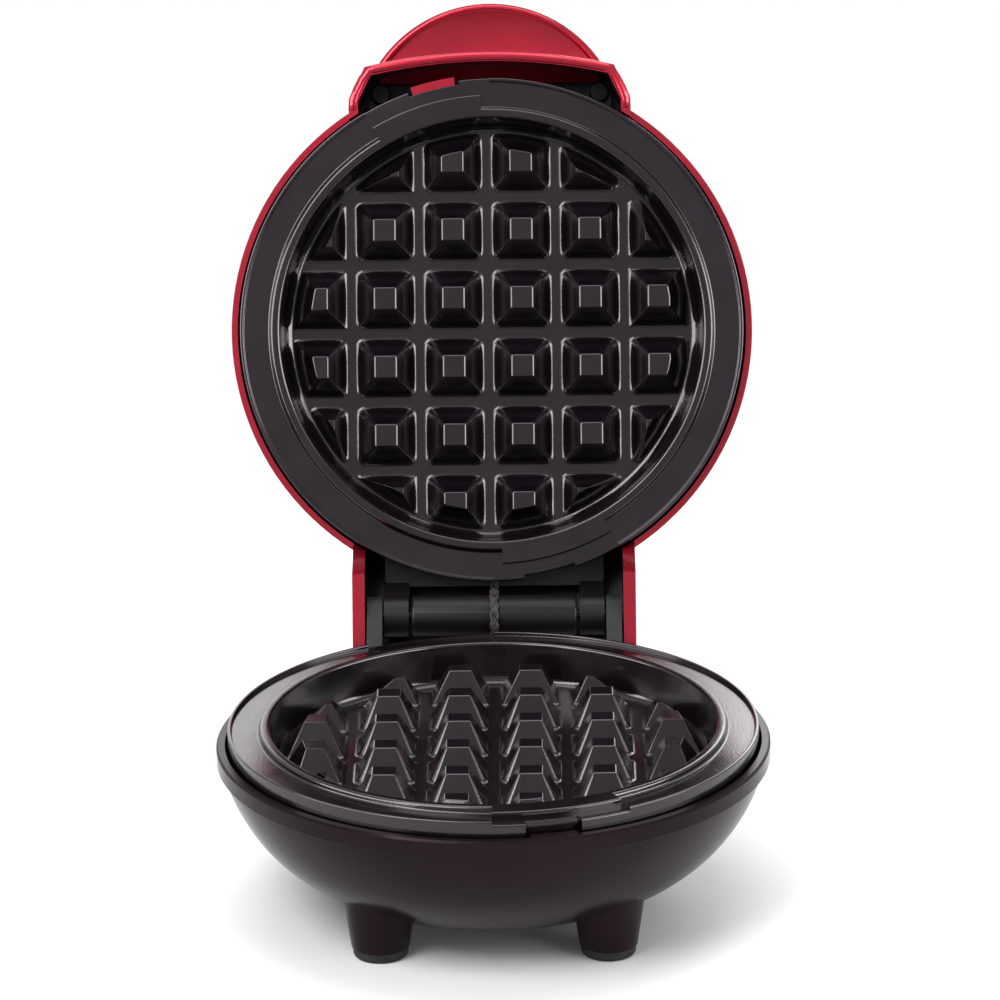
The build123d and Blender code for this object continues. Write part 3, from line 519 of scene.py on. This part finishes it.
PLAIN = [(SKIRT_IN, SKIRT_FOOT), (PLATE_R, SKIRT_FOOT), (PLATE_R, LEDGE_TOP), (SKIRT_IN, LEDGE_TOP)]
STEP = [(STEP_IN, STEP_FOOT), (STEP_OUT, STEP_FOOT), (STEP_OUT, STEP_TOP), (STEP_IN, STEP_TOP)]
BOSS = [(0, BOSS_ROOT), (0, BOSS_END), (BOSS_R, BOSS_END), (BOSS_R, BOSS_ROOT)]
print("plate radius", PLATE_R, "ridge top", RIDGE_TOP, "floor thickness", FLOOR_T)

# %% Tool: a whole casting
BACK_AND_FRONT = (90, 270)
STEP_ARC, NOTCH_FROM, NOTCH_ARC, NOTCH_TOP = 30, 7, 12, 7.8
BOSS_START, BOSS_RING = 20, 40
ROWS = 6


def cast_plate(shift, step_start, sill):
    """A casting round the origin. The grid of studs sits off the middle by the shift, and the notch in
    the skirt has a sill of a given width."""
    low_skirt = [(SKIRT_IN, SKIRT_FOOT), (SKIRT_IN + sill, SKIRT_FOOT), (SKIRT_IN + sill, NOTCH_TOP),
                 (SKIRT_IN, NOTCH_TOP)]
    notch_end = NOTCH_FROM + NOTCH_ARC
    parts = [turned(FLOOR, {5: 0.4, 6: 0.6, 7: 0.6, 8: 1.8})]
    for middle in BACK_AND_FRONT:
        parts.append(turned(PLAIN, {2: 0.4}, middle, NOTCH_FROM))
        parts.append(turned(low_skirt, {2: 0.2}, middle + NOTCH_FROM, NOTCH_ARC))
        parts.append(turned(PLAIN, {2: 0.4}, middle + notch_end, STEP_ARC - notch_end))
        parts.append(turned(LIPPED, {2: 0.3, 3: 0.3, 4: 0.2}, middle + STEP_ARC, 180 - STEP_ARC))
        parts.append(turned(STEP, {2: 0.45}, middle + step_start, STEP_ARC - step_start))
    for quarter in range(4):
        angle = math.radians(BOSS_START + 90 * quarter)
        boss = turned(BOSS, {2: 0.4})
        spot = Vector((math.cos(angle), math.sin(angle), 0)) * BOSS_RING * MM
        bmesh.ops.translate(boss, verts=boss.verts, vec=spot)
        parts.append(boss)
    half_grid = (ROWS - 1) / 2
    studs = [stud((column - half_grid) * PITCH + shift[0], (row - half_grid) * PITCH + shift[1])
             for row in range(ROWS) for column in range(ROWS)]
    studs = [made for made in studs if made]
    whole = gather(parts + studs)
    print("studs:", len(studs), "casting faces:", len(whole.faces))
    return whole


# %% [markdown]
# ## From a bmesh to an object
#
# A bmesh is only a workbench. To show, its shape goes into a mesh, and the mesh into an object that is
# linked to the scene. The home matrix is applied to the mesh and not to the object, so that the object
# stays at the origin and its pattern coordinates stay true.

# %% Tool: an object from a bmesh
SHARP = 40


def new_object(bm, name, material, home=Matrix.Identity(4), sharp=None):
    """Makes an object of a bmesh and frees it. Edges past a sharp angle stay sharp."""
    mesh = bpy.data.meshes.new(name)
    bm.to_mesh(mesh)
    bm.free()
    mesh.transform(home)
    mesh.materials.append(material)
    mesh.shade_smooth()
    if sharp:
        mesh.set_sharp_from_angle(angle=math.radians(sharp))
    made = bpy.data.objects.new(name, mesh)
    bpy.context.scene.collection.objects.link(made)
    print(name, "faces", len(mesh.polygons))
    return made


def place(bm, name, home, body, material, node):
    """Puts a casting into the scene at its home. It stands for a node and rides on its body."""
    piece = new_object(bm, name, material, home, SHARP)
    weighted = piece.modifiers.new("flat_areas_flat", "WEIGHTED_NORMAL")
    weighted.keep_sharp = True
    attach(piece, body)
    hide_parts(node)


# %% [markdown]
# ## Both plates
#
# The two plates differ in small ways. Their grids of studs sit slightly off the middle, and on the
# upper plate the step starts a little later and the notch is shallower.

# %% Both plates
LOWER_SHIFT = (0.3, 0.0)
UPPER_SHIFT = (-0.9, -0.5)
casting = cast_plate(LOWER_SHIFT, 0, 0.3)
place(casting, "lower_plate_cast", BASE, "base", coating, "lower_plate")
casting = cast_plate(UPPER_SHIFT, 2.2, 1.2)
place(casting, "upper_plate_cast", LID, "lid", coating, "upper_plate")

# %% [markdown]
# ## Shells
#
# The bowl and the lid are thin mouldings. Their outer edges have a larger rounding than their
# ribs could take, so the width stays below half of the thinnest wall.

# %% Shells
rounded("base_shell", "bowl", "base", gloss, 0.5)
rounded("lid_shell", "lid", "lid", red, 0.5, flat=0.05)
rounded("neck_cover", "neck_panel", "lid", matt, 0.3)
rounded("hinge_barrel", "hinge_tube", "base", matt, 0.2)
rounded("cord_clamp", "clamp_bar", "base", matt, 0.3)
rounded("cable_gland", "gland", "base", rubber, 0.3)

# %% [markdown]
# ## Feet
#
# A rubber pad is pegged into each of the four legs. The pads are alike, so a loop dresses them.

# %% Feet
for corner in ("front_left", "front_right", "rear_left", "rear_right"):
    rounded("foot_pad_" + corner, "foot_" + corner, "base", rubber, 0.25)

# %% [markdown]
# ## Finishes of the pieces whose shape is right
#
# Screws, sheet metal and the electrical parts keep their measured meshes. They only change their
# material, which is put into the slots of the loaded objects.

# %% Finishes on loaded pieces
FINISH_OF = {
    "base_screws": steel, "clamp_screws": steel, "lid_screws": black_oxide, "neck_screws": black_oxide,
    "upper_plate_screws": steel, "hinge_pin": black_oxide, "upper_bracket": black_oxide,
    "thermostat_clip": steel, "lower_heat_shield": sheet, "upper_heat_shield": sheet,
    "lower_heating_element": element, "upper_heating_element": element,
    "thermostat": nickel, "thermal_fuse": nickel, "terminal_block": ceramic,
    "indicator_lens": lens, "indicator_lamp": bulb, "lamp_clip": matt,
}
for name, material in FINISH_OF.items():
    loaded = nodes[name]
    loaded.data.materials.clear()
    loaded.data.materials.append(material)
print("finished", len(FINISH_OF), "loaded pieces")

# %% [markdown]
# ## Inside of the lid
#
# The lid's faces inside the visor and between the cheeks of the hinge are made black matt instead of
# red. One piece can hold both finishes: each face carries the number of its material. A face belongs to
# the inside if it looks towards the middle of the hollow that it walls. The dome, the visor and the
# hinge housing each have such a middle. Faces in the circle of a screw boss, seen along the lid's axis,
# count as inside whatever their height. That keeps the bosses black, but it also blackens a few outer
# faces right over the two rear ones.

# %% Black matt on the inner faces
BOX_HALF = 34.5
VISOR_FROM, VISOR_FRONT, VISOR_BULGE, VISOR_HALF = 50, 62.5, 3.4, 30.5
VISOR_SPAN, VISOR_MIDDLE_Y, VISOR_MIDDLE_Z = 20, 58, -4
HOUSING_FROM = -45
HOUSING_SPAN, HOUSING_MIDDLE_Y, HOUSING_MIDDLE_Z = 25, -60, 4
RIB_INNER, RIB_OUTER, RIB_FROM, RIB_TO, RIB_BACK = 60.2, 62.9, 96, 110, -8
BOSSES = ((27, 59.5, 3.3), (-27, 59.5, 3.3), (22, -52, 3.3), (-22, -52, 3.3))


def looks_inward(centre, normal):
    """True for a face of the hollow side or over a boss, in millimetres round the lid's home."""
    x, y, _ = centre
    if any(math.hypot(x - bx, y - by) < radius for bx, by, radius in BOSSES):
        return True
    middle = Vector((0, 0, 0))
    if abs(x) < BOX_HALF and y > VISOR_FROM:
        if y > VISOR_FRONT + VISOR_BULGE * (1 - (x / VISOR_HALF) ** 2):
            return False
        middle = Vector((max(-VISOR_SPAN, min(VISOR_SPAN, x)), VISOR_MIDDLE_Y, VISOR_MIDDLE_Z))
    elif abs(x) < BOX_HALF and y < HOUSING_FROM:
        middle = Vector((max(-HOUSING_SPAN, min(HOUSING_SPAN, x)), HOUSING_MIDDLE_Y, HOUSING_MIDDLE_Z))
    return (centre - middle).dot(normal) < 0


def is_rib(centre):
    """True for the painted rib whose end shows in the notch of the upper plate."""
    x, y, height = centre
    turn = math.degrees(math.atan2(y, x))
    return RIB_INNER < math.hypot(x, y) < RIB_OUTER and RIB_FROM < turn < RIB_TO and height > RIB_BACK


lid = bpy.data.objects["lid"]
lid.data.materials.append(matt)
to_lid = LID.inverted()
inner = 0
for face in lid.data.polygons:
    centre = to_lid @ face.center / MM
    if looks_inward(centre, to_lid.to_3x3() @ face.normal) and not is_rib(centre):
        face.material_index = 1
        inner += 1
print("inner faces:", inner, "of", len(lid.data.polygons))

# %% [markdown]
# ## Ears of the bowl
#
# Two ears stand up from the bowl and hold the hinge pin. In the photograph they look duller than the
# bowl. They are part of the same moulding, so again one piece holds both finishes. The faces are
# chosen by where they are, because an ear has no outline of its own in the mesh.

# %% Dull faces on the bowl's hinge ears
EAR_FROM_X, EAR_TO_X, EAR_FROM_Y = 26.5, 32.5, 55
bowl = bpy.data.objects["bowl"]
bowl.data.materials.append(rubber)
to_base = BASE.inverted()
for face in bowl.data.polygons:
    centre = to_base @ face.center / MM
    if EAR_FROM_X < abs(centre.x) < EAR_TO_X and centre.y > EAR_FROM_Y:
        face.material_index = 1
print("ears are dull")

# %% [markdown]
# ## Skin of the dome
#
# The top of the lid is a very flat cone in the measured model, and its long thin triangles break
# reflections into streaks. Lacquer would show every one. A thin skin is spun over it from a smooth
# line that starts level in the middle and runs into the cone further out. Faces under the lens's
# head are taken out, so that light still passes through the lens. Seen low from behind with the lid
# shut, so smooth a skin mirrors the white room and looks white itself.

# %% Skin of the dome
SKIN_R, SKIN_LIFT, SKIN_WALL, SKIN_STEPS = 46, 0.05, 0.3, 180
CONE_TOP, CONE_RISE = -16.5, 0.025
LENS_Y, LENS_CLEAR = 30, 3.4
bm = bmesh.new()
line = []
for radius in range(SKIN_R + 1):
    swell = CONE_RISE * radius * (1 - radius / SKIN_R) ** 2
    level = CONE_TOP + CONE_RISE * radius - SKIN_LIFT - swell
    line.append(bm.verts.new((radius * MM, 0, level * MM)))
for inside, outside in zip(line, line[1:]):
    bm.edges.new((inside, outside))
bmesh.ops.spin(bm, geom=bm.verts[:] + bm.edges[:], cent=(0, 0, 0), axis=(0, 0, 1), dvec=(0, 0, 0),
               angle=math.tau, steps=SKIN_STEPS, use_merge=True, use_duplicate=False)
bmesh.ops.remove_doubles(bm, verts=bm.verts, dist=0.01 * MM)
under_lens = [face for face in bm.faces
              if (face.calc_center_median().xy / MM - Vector((0, LENS_Y))).length < LENS_CLEAR]
bmesh.ops.delete(bm, geom=under_lens, context="FACES")
bmesh.ops.recalc_face_normals(bm, faces=bm.faces)
if bm.faces[0].normal.z > 0:
    bmesh.ops.reverse_faces(bm, faces=bm.faces)
bmesh.ops.solidify(bm, geom=bm.faces[:], thickness=SKIN_WALL * MM)
skin = new_object(bm, "dome_skin", red, LID, SHARP)
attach(skin, "lid")

# %% [markdown]
# ## Hollow of the lifting tab
#
# A finger presses into the tab's front, which is a shallow hollow inside a thin rim. The measured
# model has a flat floor there. A curved floor mirrors the room from dark to bright, which is what
# makes it read as hollow. It starts as a grid, is trimmed to the tab's outline with straight cuts,
# and each vertex is then raised by how far it is from the hollow's middle line.

# %% Floor of the tab's hollow
HOLLOW_R, HOLLOW_Y = 31.9, 47.8
HOLLOW_CUTS, HOLLOW_TURN = 15, 4
PATCH_X, PATCH_Y, PATCH_MIDDLE = 27, 9.4, 71.2
DISH_LOW, DISH_RISE, DISH_MIDDLE, DISH_HALF = -8.95, 1.45, 70.5, 9
END_RISE, END_X = 0.5, 26
bm = bmesh.new()
bmesh.ops.create_grid(bm, x_segments=36, y_segments=24, size=1)
bmesh.ops.scale(bm, verts=bm.verts, vec=(PATCH_X * MM, PATCH_Y * MM, 1))
bmesh.ops.translate(bm, verts=bm.verts, vec=(0, PATCH_MIDDLE * MM, 0))
for step in range(-HOLLOW_CUTS, HOLLOW_CUTS + 1):
    angle = math.radians(90 + step * HOLLOW_TURN)
    side = Vector((math.cos(angle), math.sin(angle), 0))
    everything = bm.verts[:] + bm.edges[:] + bm.faces[:]
    bmesh.ops.bisect_plane(bm, geom=everything, dist=1e-7, clear_outer=True, plane_no=side,
                           plane_co=(Vector((0, HOLLOW_Y, 0)) + side * HOLLOW_R) * MM)
for vert in bm.verts:
    off = (vert.co.y / MM - DISH_MIDDLE) / DISH_HALF
    vert.co.z = (DISH_LOW + DISH_RISE * off * off + END_RISE * (vert.co.x / MM / END_X) ** 2) * MM
bmesh.ops.recalc_face_normals(bm, faces=bm.faces)
bmesh.ops.solidify(bm, geom=bm.faces[:], thickness=SKIN_WALL * MM)
hollow = new_object(bm, "tab_hollow", red, LID, SHARP)
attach(hollow, "lid")

# %% [markdown]
# ## Rolled edges of the tab and the visor
#
# The tab's rim and the visor's front edge are thick and fully round, and each carries one long
# highlight. A tube laid along the edge gives that roundness wherever the wall is too thin for the
# bevel. It is one ring of vertices, extruded from stop to stop along the edge.

# %% Tool: a tube along stops
def tube(bm, stops, radius, sides):
    """Extrudes a ring from one stop's matrix to the next and closes both ends."""
    ring = bmesh.ops.create_circle(bm, segments=sides, radius=radius)["verts"]
    edges = list({edge for vert in ring for edge in vert.link_edges})
    first = edges[:]
    before = Matrix.Identity(4)
    for number, stop in enumerate(stops):
        if number:
            made = bmesh.ops.extrude_edge_only(bm, edges=edges)["geom"]
            ring = [item for item in made if isinstance(item, bmesh.types.BMVert)]
            edges = [item for item in made if isinstance(item, bmesh.types.BMEdge)
                     and all(vert in ring for vert in item.verts)]
        bmesh.ops.transform(bm, verts=ring, matrix=stop @ before.inverted())
        before = stop
    bmesh.ops.holes_fill(bm, edges=first + edges, sides=sides)


def stops_along(points):
    """Stops along a nearly level line of points, each looking along it."""
    stops = []
    for number, point in enumerate(points):
        way = (points[min(number + 1, len(points) - 1)] - points[max(number - 1, 0)]).normalized()
        side = Vector((0, 0, 1)).cross(way).normalized()
        turn = Matrix((side, way.cross(side), way)).transposed().to_4x4()
        stops.append(Matrix.Translation(point * MM) @ turn)
    return stops


# %% Rolled edges
RIM_Y, RIM_R, RIM_HEIGHT, RIM_HALF = 48.46, 32.1, -7.6, 0.9
RIM_FROM, RIM_ARC, RIM_STEPS = 29, 122, 60
WALL_Y, WALL_HALF, LIP_PROUD = 63.5, 1.1, 0.15
LIP_HEIGHT, LIP_HALF, LIP_STEPS = 7.25, 29.3, 40
ROLL_SIDES = 20
rim_line = []
for step in range(RIM_STEPS + 1):
    angle = math.radians(RIM_FROM + step * RIM_ARC / RIM_STEPS)
    rim_line.append(Vector((RIM_R * math.cos(angle), RIM_Y + RIM_R * math.sin(angle), RIM_HEIGHT)))
lip_end = [Vector((33.2, 52.6, LIP_HEIGHT - 1.6)), Vector((33.3, 54.4, LIP_HEIGHT - 0.3)),
           Vector((33.2, 56.5, LIP_HEIGHT)), Vector((32.2, 59.0, LIP_HEIGHT)),
           Vector((30.9, 61.6, LIP_HEIGHT))]
lip_line = lip_end[:]
for step in range(LIP_STEPS + 1):
    x = LIP_HALF - step * 2 * LIP_HALF / LIP_STEPS
    lip_line.append(Vector((x, WALL_Y + VISOR_BULGE * (1 - (x / VISOR_HALF) ** 2), LIP_HEIGHT)))
lip_line += [Vector((-point.x, point.y, point.z)) for point in reversed(lip_end)]
for name, line, radius in (("tab_rim", rim_line, RIM_HALF), ("visor_lip", lip_line, WALL_HALF + LIP_PROUD)):
    bm = bmesh.new()
    tube(bm, stops_along(line), radius * MM, ROLL_SIDES)
    bmesh.ops.recalc_face_normals(bm, faces=bm.faces)
    edge = new_object(bm, name, red, LID)
    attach(edge, "lid")

# %% [markdown]
# ## Braided sleeve over the hinge
#
# The lid's wires cross the hinge in a thin sleeve of glass fibre. It comes up out of the bowl, wraps
# round the black tube and climbs the panel behind it. It looks frayed, and a smooth band would look
# like tape, so it is made of twisted strands. Its path is walked in small steps, each of which goes
# forward and turns a little. A small ring of vertices is then extruded from step to step while it
# circles the path's middle.

# %% Path of the sleeve
SPACING = 0.375 * MM
WRAP_R = 5.9 * MM
BEND_R = 2.9 * MM
WRAP_STEPS, BEND_STEPS, CLIMB_STEPS = 48, 16, 24
LOW_FRONT = math.radians(35)
turns = [-SPACING / WRAP_R] * WRAP_STEPS + [SPACING / BEND_R] * BEND_STEPS + [0.0] * CLIMB_STEPS
start = Matrix.Translation(HINGE) @ Matrix.Rotation(LOW_FRONT, 4, "X") @ Matrix.Translation((0, -WRAP_R, 0))
path_stops = [start]
for turn in turns:
    ahead = Matrix.Translation((0, 0, SPACING)) @ Matrix.Rotation(turn, 4, "X")
    path_stops.append(path_stops[-1] @ ahead)
print("sleeve length in mm:", round(len(turns) * SPACING / MM, 1))


# %% Tool: one strand of the sleeve
STRANDS, STRAND_R, TWIST = 7, 0.34, 0.19
BUNDLE_WIDE, BUNDLE_DEEP = 0.74, 0.40
LOOSE, LOOSE_RATE, LOOSE_PHASE = 0.22, 0.9, 7
UNEVEN, UNEVEN_RATE, UNEVEN_PHASE = 0.25, 3.1, 5


def strand(bm, phase, thick):
    """Adds one strand: a tube that goes with the path and circles its middle."""
    stops = []
    for number, stop in enumerate(path_stops):
        angle = phase + number * TWIST
        loose = 1 + LOOSE * math.sin(LOOSE_RATE * number + LOOSE_PHASE * phase)
        side = Vector((math.cos(angle) * BUNDLE_WIDE * loose, math.sin(angle) * BUNDLE_DEEP, 0)) * MM
        girth = 1 + UNEVEN * math.sin(UNEVEN_RATE * angle + UNEVEN_PHASE * phase)
        stops.append(stop @ Matrix.Translation(side) @ Matrix.Diagonal((girth, girth, 1, 1)))
    tube(bm, stops, thick, 6)


# %% Braided sleeve
bm = bmesh.new()
for number in range(STRANDS):
    strand(bm, math.tau * number / STRANDS, STRAND_R * MM)
bmesh.ops.recalc_face_normals(bm, faces=bm.faces)
sleeve = new_object(bm, "braided_sleeve", woven)
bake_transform(sleeve)
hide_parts("wire_sleeve")

# %% [markdown]
# ## Room
#
# The photograph was taken on white, so the world is white where the camera looks at it, and dimmer as
# a source of soft light. Glossy surfaces mirror the white backdrop behind the object, and the darker
# side of the room where the photographer stands. What they mirror from below is darker still, because
# there the object shades the table.

# %% World
world = bpy.data.worlds.new("white_room")
bpy.context.scene.world = world
world.use_nodes = True
tree = world.node_tree
WHITE = (1, 1, 1, 1)
DIM = 0.42
DARK_SIDE, SIDE_FROM, SIDE_TO = 0.75, -0.55, 0.75
DARK_FLOOR, FLOOR_FROM, FLOOR_TO = 0.3, -0.30, 0.10


def math_node(operation, first, second):
    """A world node that joins two values."""
    node = tree.nodes.new("ShaderNodeMath")
    node.operation = operation
    for number, value in enumerate((first, second)):
        if isinstance(value, float):
            node.inputs[number].default_value = value
        else:
            tree.links.new(value, node.inputs[number])
    return node.outputs[0]


path = tree.nodes.new("ShaderNodeLightPath")
way = tree.nodes.new("ShaderNodeTexCoord")
parts = tree.nodes.new("ShaderNodeSeparateXYZ")
room = tree.nodes.new("ShaderNodeMapRange")
room.interpolation_type = "SMOOTHSTEP"
room.inputs["From Min"].default_value = SIDE_FROM
room.inputs["From Max"].default_value = SIDE_TO
room.inputs["To Min"].default_value = DARK_SIDE
tree.links.new(way.outputs["Generated"], parts.inputs[0])
tree.links.new(parts.outputs["Y"], room.inputs["Value"])
low = tree.nodes.new("ShaderNodeMapRange")
low.inputs["From Min"].default_value = FLOOR_FROM
low.inputs["From Max"].default_value = FLOOR_TO
low.inputs["To Min"].default_value = DARK_FLOOR
tree.links.new(parts.outputs["Z"], low.inputs["Value"])
mirrored = math_node("MAXIMUM", path.outputs["Is Glossy Ray"], path.outputs["Is Transmission Ray"])
back = math_node("MULTIPLY", mirrored, math_node("MULTIPLY", room.outputs["Result"], low.outputs["Result"]))
lit = math_node("MULTIPLY", math_node("SUBTRACT", 1.0, mirrored), DIM)
strength = math_node("MAXIMUM", math_node("ADD", back, lit), path.outputs["Is Camera Ray"])
backdrop = tree.nodes["Background"]
backdrop.inputs["Color"].default_value = WHITE
tree.links.new(strength, backdrop.inputs["Strength"])
print("world", world.name)

# %% [markdown]
# ## Table
#
# The table is a large disc that fades out at its edge, so it keeps the shadow but has no visible end.

# %% Table
TABLE_R = 1.1
FADE_FROM, FADE_TO = 0.16, 0.42
bm = bmesh.new()
bmesh.ops.create_circle(bm, cap_ends=True, segments=96, radius=TABLE_R)
mesh = bpy.data.meshes.new("table")
bm.to_mesh(mesh)
bm.free()
table = bpy.data.objects.new("table", mesh)
bpy.context.scene.collection.objects.link(table)
white, shader = finish("table_white", (0.86, 0.86, 0.86), 0.75)
tree = white.node_tree
spot = tree.nodes.new("ShaderNodeTexCoord")
reach = tree.nodes.new("ShaderNodeVectorMath")
reach.operation = "LENGTH"
fade = tree.nodes.new("ShaderNodeMapRange")
fade.interpolation_type = "SMOOTHSTEP"
fade.inputs["From Min"].default_value = FADE_FROM
fade.inputs["From Max"].default_value = FADE_TO
tree.links.new(spot.outputs["Object"], reach.inputs[0])
tree.links.new(reach.outputs["Value"], fade.inputs["Value"])
clear = tree.nodes.new("ShaderNodeBsdfTransparent")
blend = tree.nodes.new("ShaderNodeMixShader")
tree.links.new(fade.outputs["Result"], blend.inputs["Fac"])
tree.links.new(shader.outputs[0], blend.inputs[1])
tree.links.new(clear.outputs[0], blend.inputs[2])
tree.links.new(blend.outputs[0], tree.nodes["Material Output"].inputs["Surface"])
mesh.materials.append(white)
print("table radius", TABLE_R)

# %% [markdown]
# ## Light
#
# Light comes from broad panels, because small lamps would draw hard spots on the gloss. Three more
# panels are cards, as a photographer puts up to draw long highlights. They light no surface and only
# show in what is glossy, so they shape the highlights and leave the colours as they are.


# %% Light panels
def panel(name, spot, aim, width, height, power, only_gloss=False):
    """A light panel at a place, turned to what it lights. Some show only as highlights."""
    data = bpy.data.lights.new(name, "AREA")
    data.shape = "RECTANGLE"
    data.size = width
    data.size_y = height
    data.energy = power
    lamp = bpy.data.objects.new(name, data)
    lamp.location = spot
    lamp.rotation_mode = "QUATERNION"
    lamp.rotation_quaternion = (Vector(aim) - Vector(spot)).to_track_quat("-Z", "Y")
    bpy.context.scene.collection.objects.link(lamp)
    lamp.visible_diffuse = not only_gloss


MIDDLE = (0, 0, 0.09)
panel("key", (-0.50, -0.70, 0.95), MIDDLE, 0.6, 0.6, 13)
panel("fill", (0.85, -0.55, 0.5), MIDDLE, 0.8, 0.8, 5)
panel("top", (0.0, 0.15, 1.1), MIDDLE, 0.9, 0.9, 8)
panel("behind", (0.35, 0.9, 0.7), MIDDLE, 0.6, 0.6, 5)
panel("left_card", (-0.95, -0.50, 0.44), MIDDLE, 1.1, 0.55, 19, only_gloss=True)
panel("right_card", (0.95, -0.50, 0.44), MIDDLE, 1.1, 0.55, 19, only_gloss=True)
panel("back_card", (0.0, 1.3, 0.50), MIDDLE, 1.8, 0.6, 6, only_gloss=True)
print("four lights and three cards")

# %% [markdown]
# ## Camera
#
# The viewing angle was found by fitting a camera to the outlines of both plates in the photograph:
# a long lens, a little under 19 degrees above the table, and rolled by less than one degree.

# %% Camera
AXIS = Vector((0, HINGE.y - REACH, 0))
SWING = Matrix.Rotation(math.radians(0.447), 4, "Z")
ROLL = Matrix.Rotation(math.radians(-0.725), 4, "Z").to_quaternion()
SIDE_STEP, DISTANCE, EYE_HEIGHT, AIM_HEIGHT = 2.25, 1179.8, 496.9, 98.0
LENS_LENGTH, SENSOR, CLIP_START = 196.35, 36, 0.05
eye = AXIS + SWING @ Vector((SIDE_STEP * MM, -DISTANCE * MM, EYE_HEIGHT * MM))
aim = AXIS + SWING @ Vector((SIDE_STEP * MM, 0, AIM_HEIGHT * MM))
data = bpy.data.cameras.new("camera")
data.lens = LENS_LENGTH
data.sensor_width = SENSOR
data.clip_start = CLIP_START
camera = bpy.data.objects.new("camera", data)
camera.rotation_mode = "QUATERNION"
camera.location = eye
camera.rotation_quaternion = (aim - eye).to_track_quat("-Z", "Y") @ ROLL
bpy.context.scene.collection.objects.link(camera)
bpy.context.scene.camera = camera
bpy.context.scene.view_settings.view_transform = "Standard"
print("camera", [round(v, 3) for v in eye])
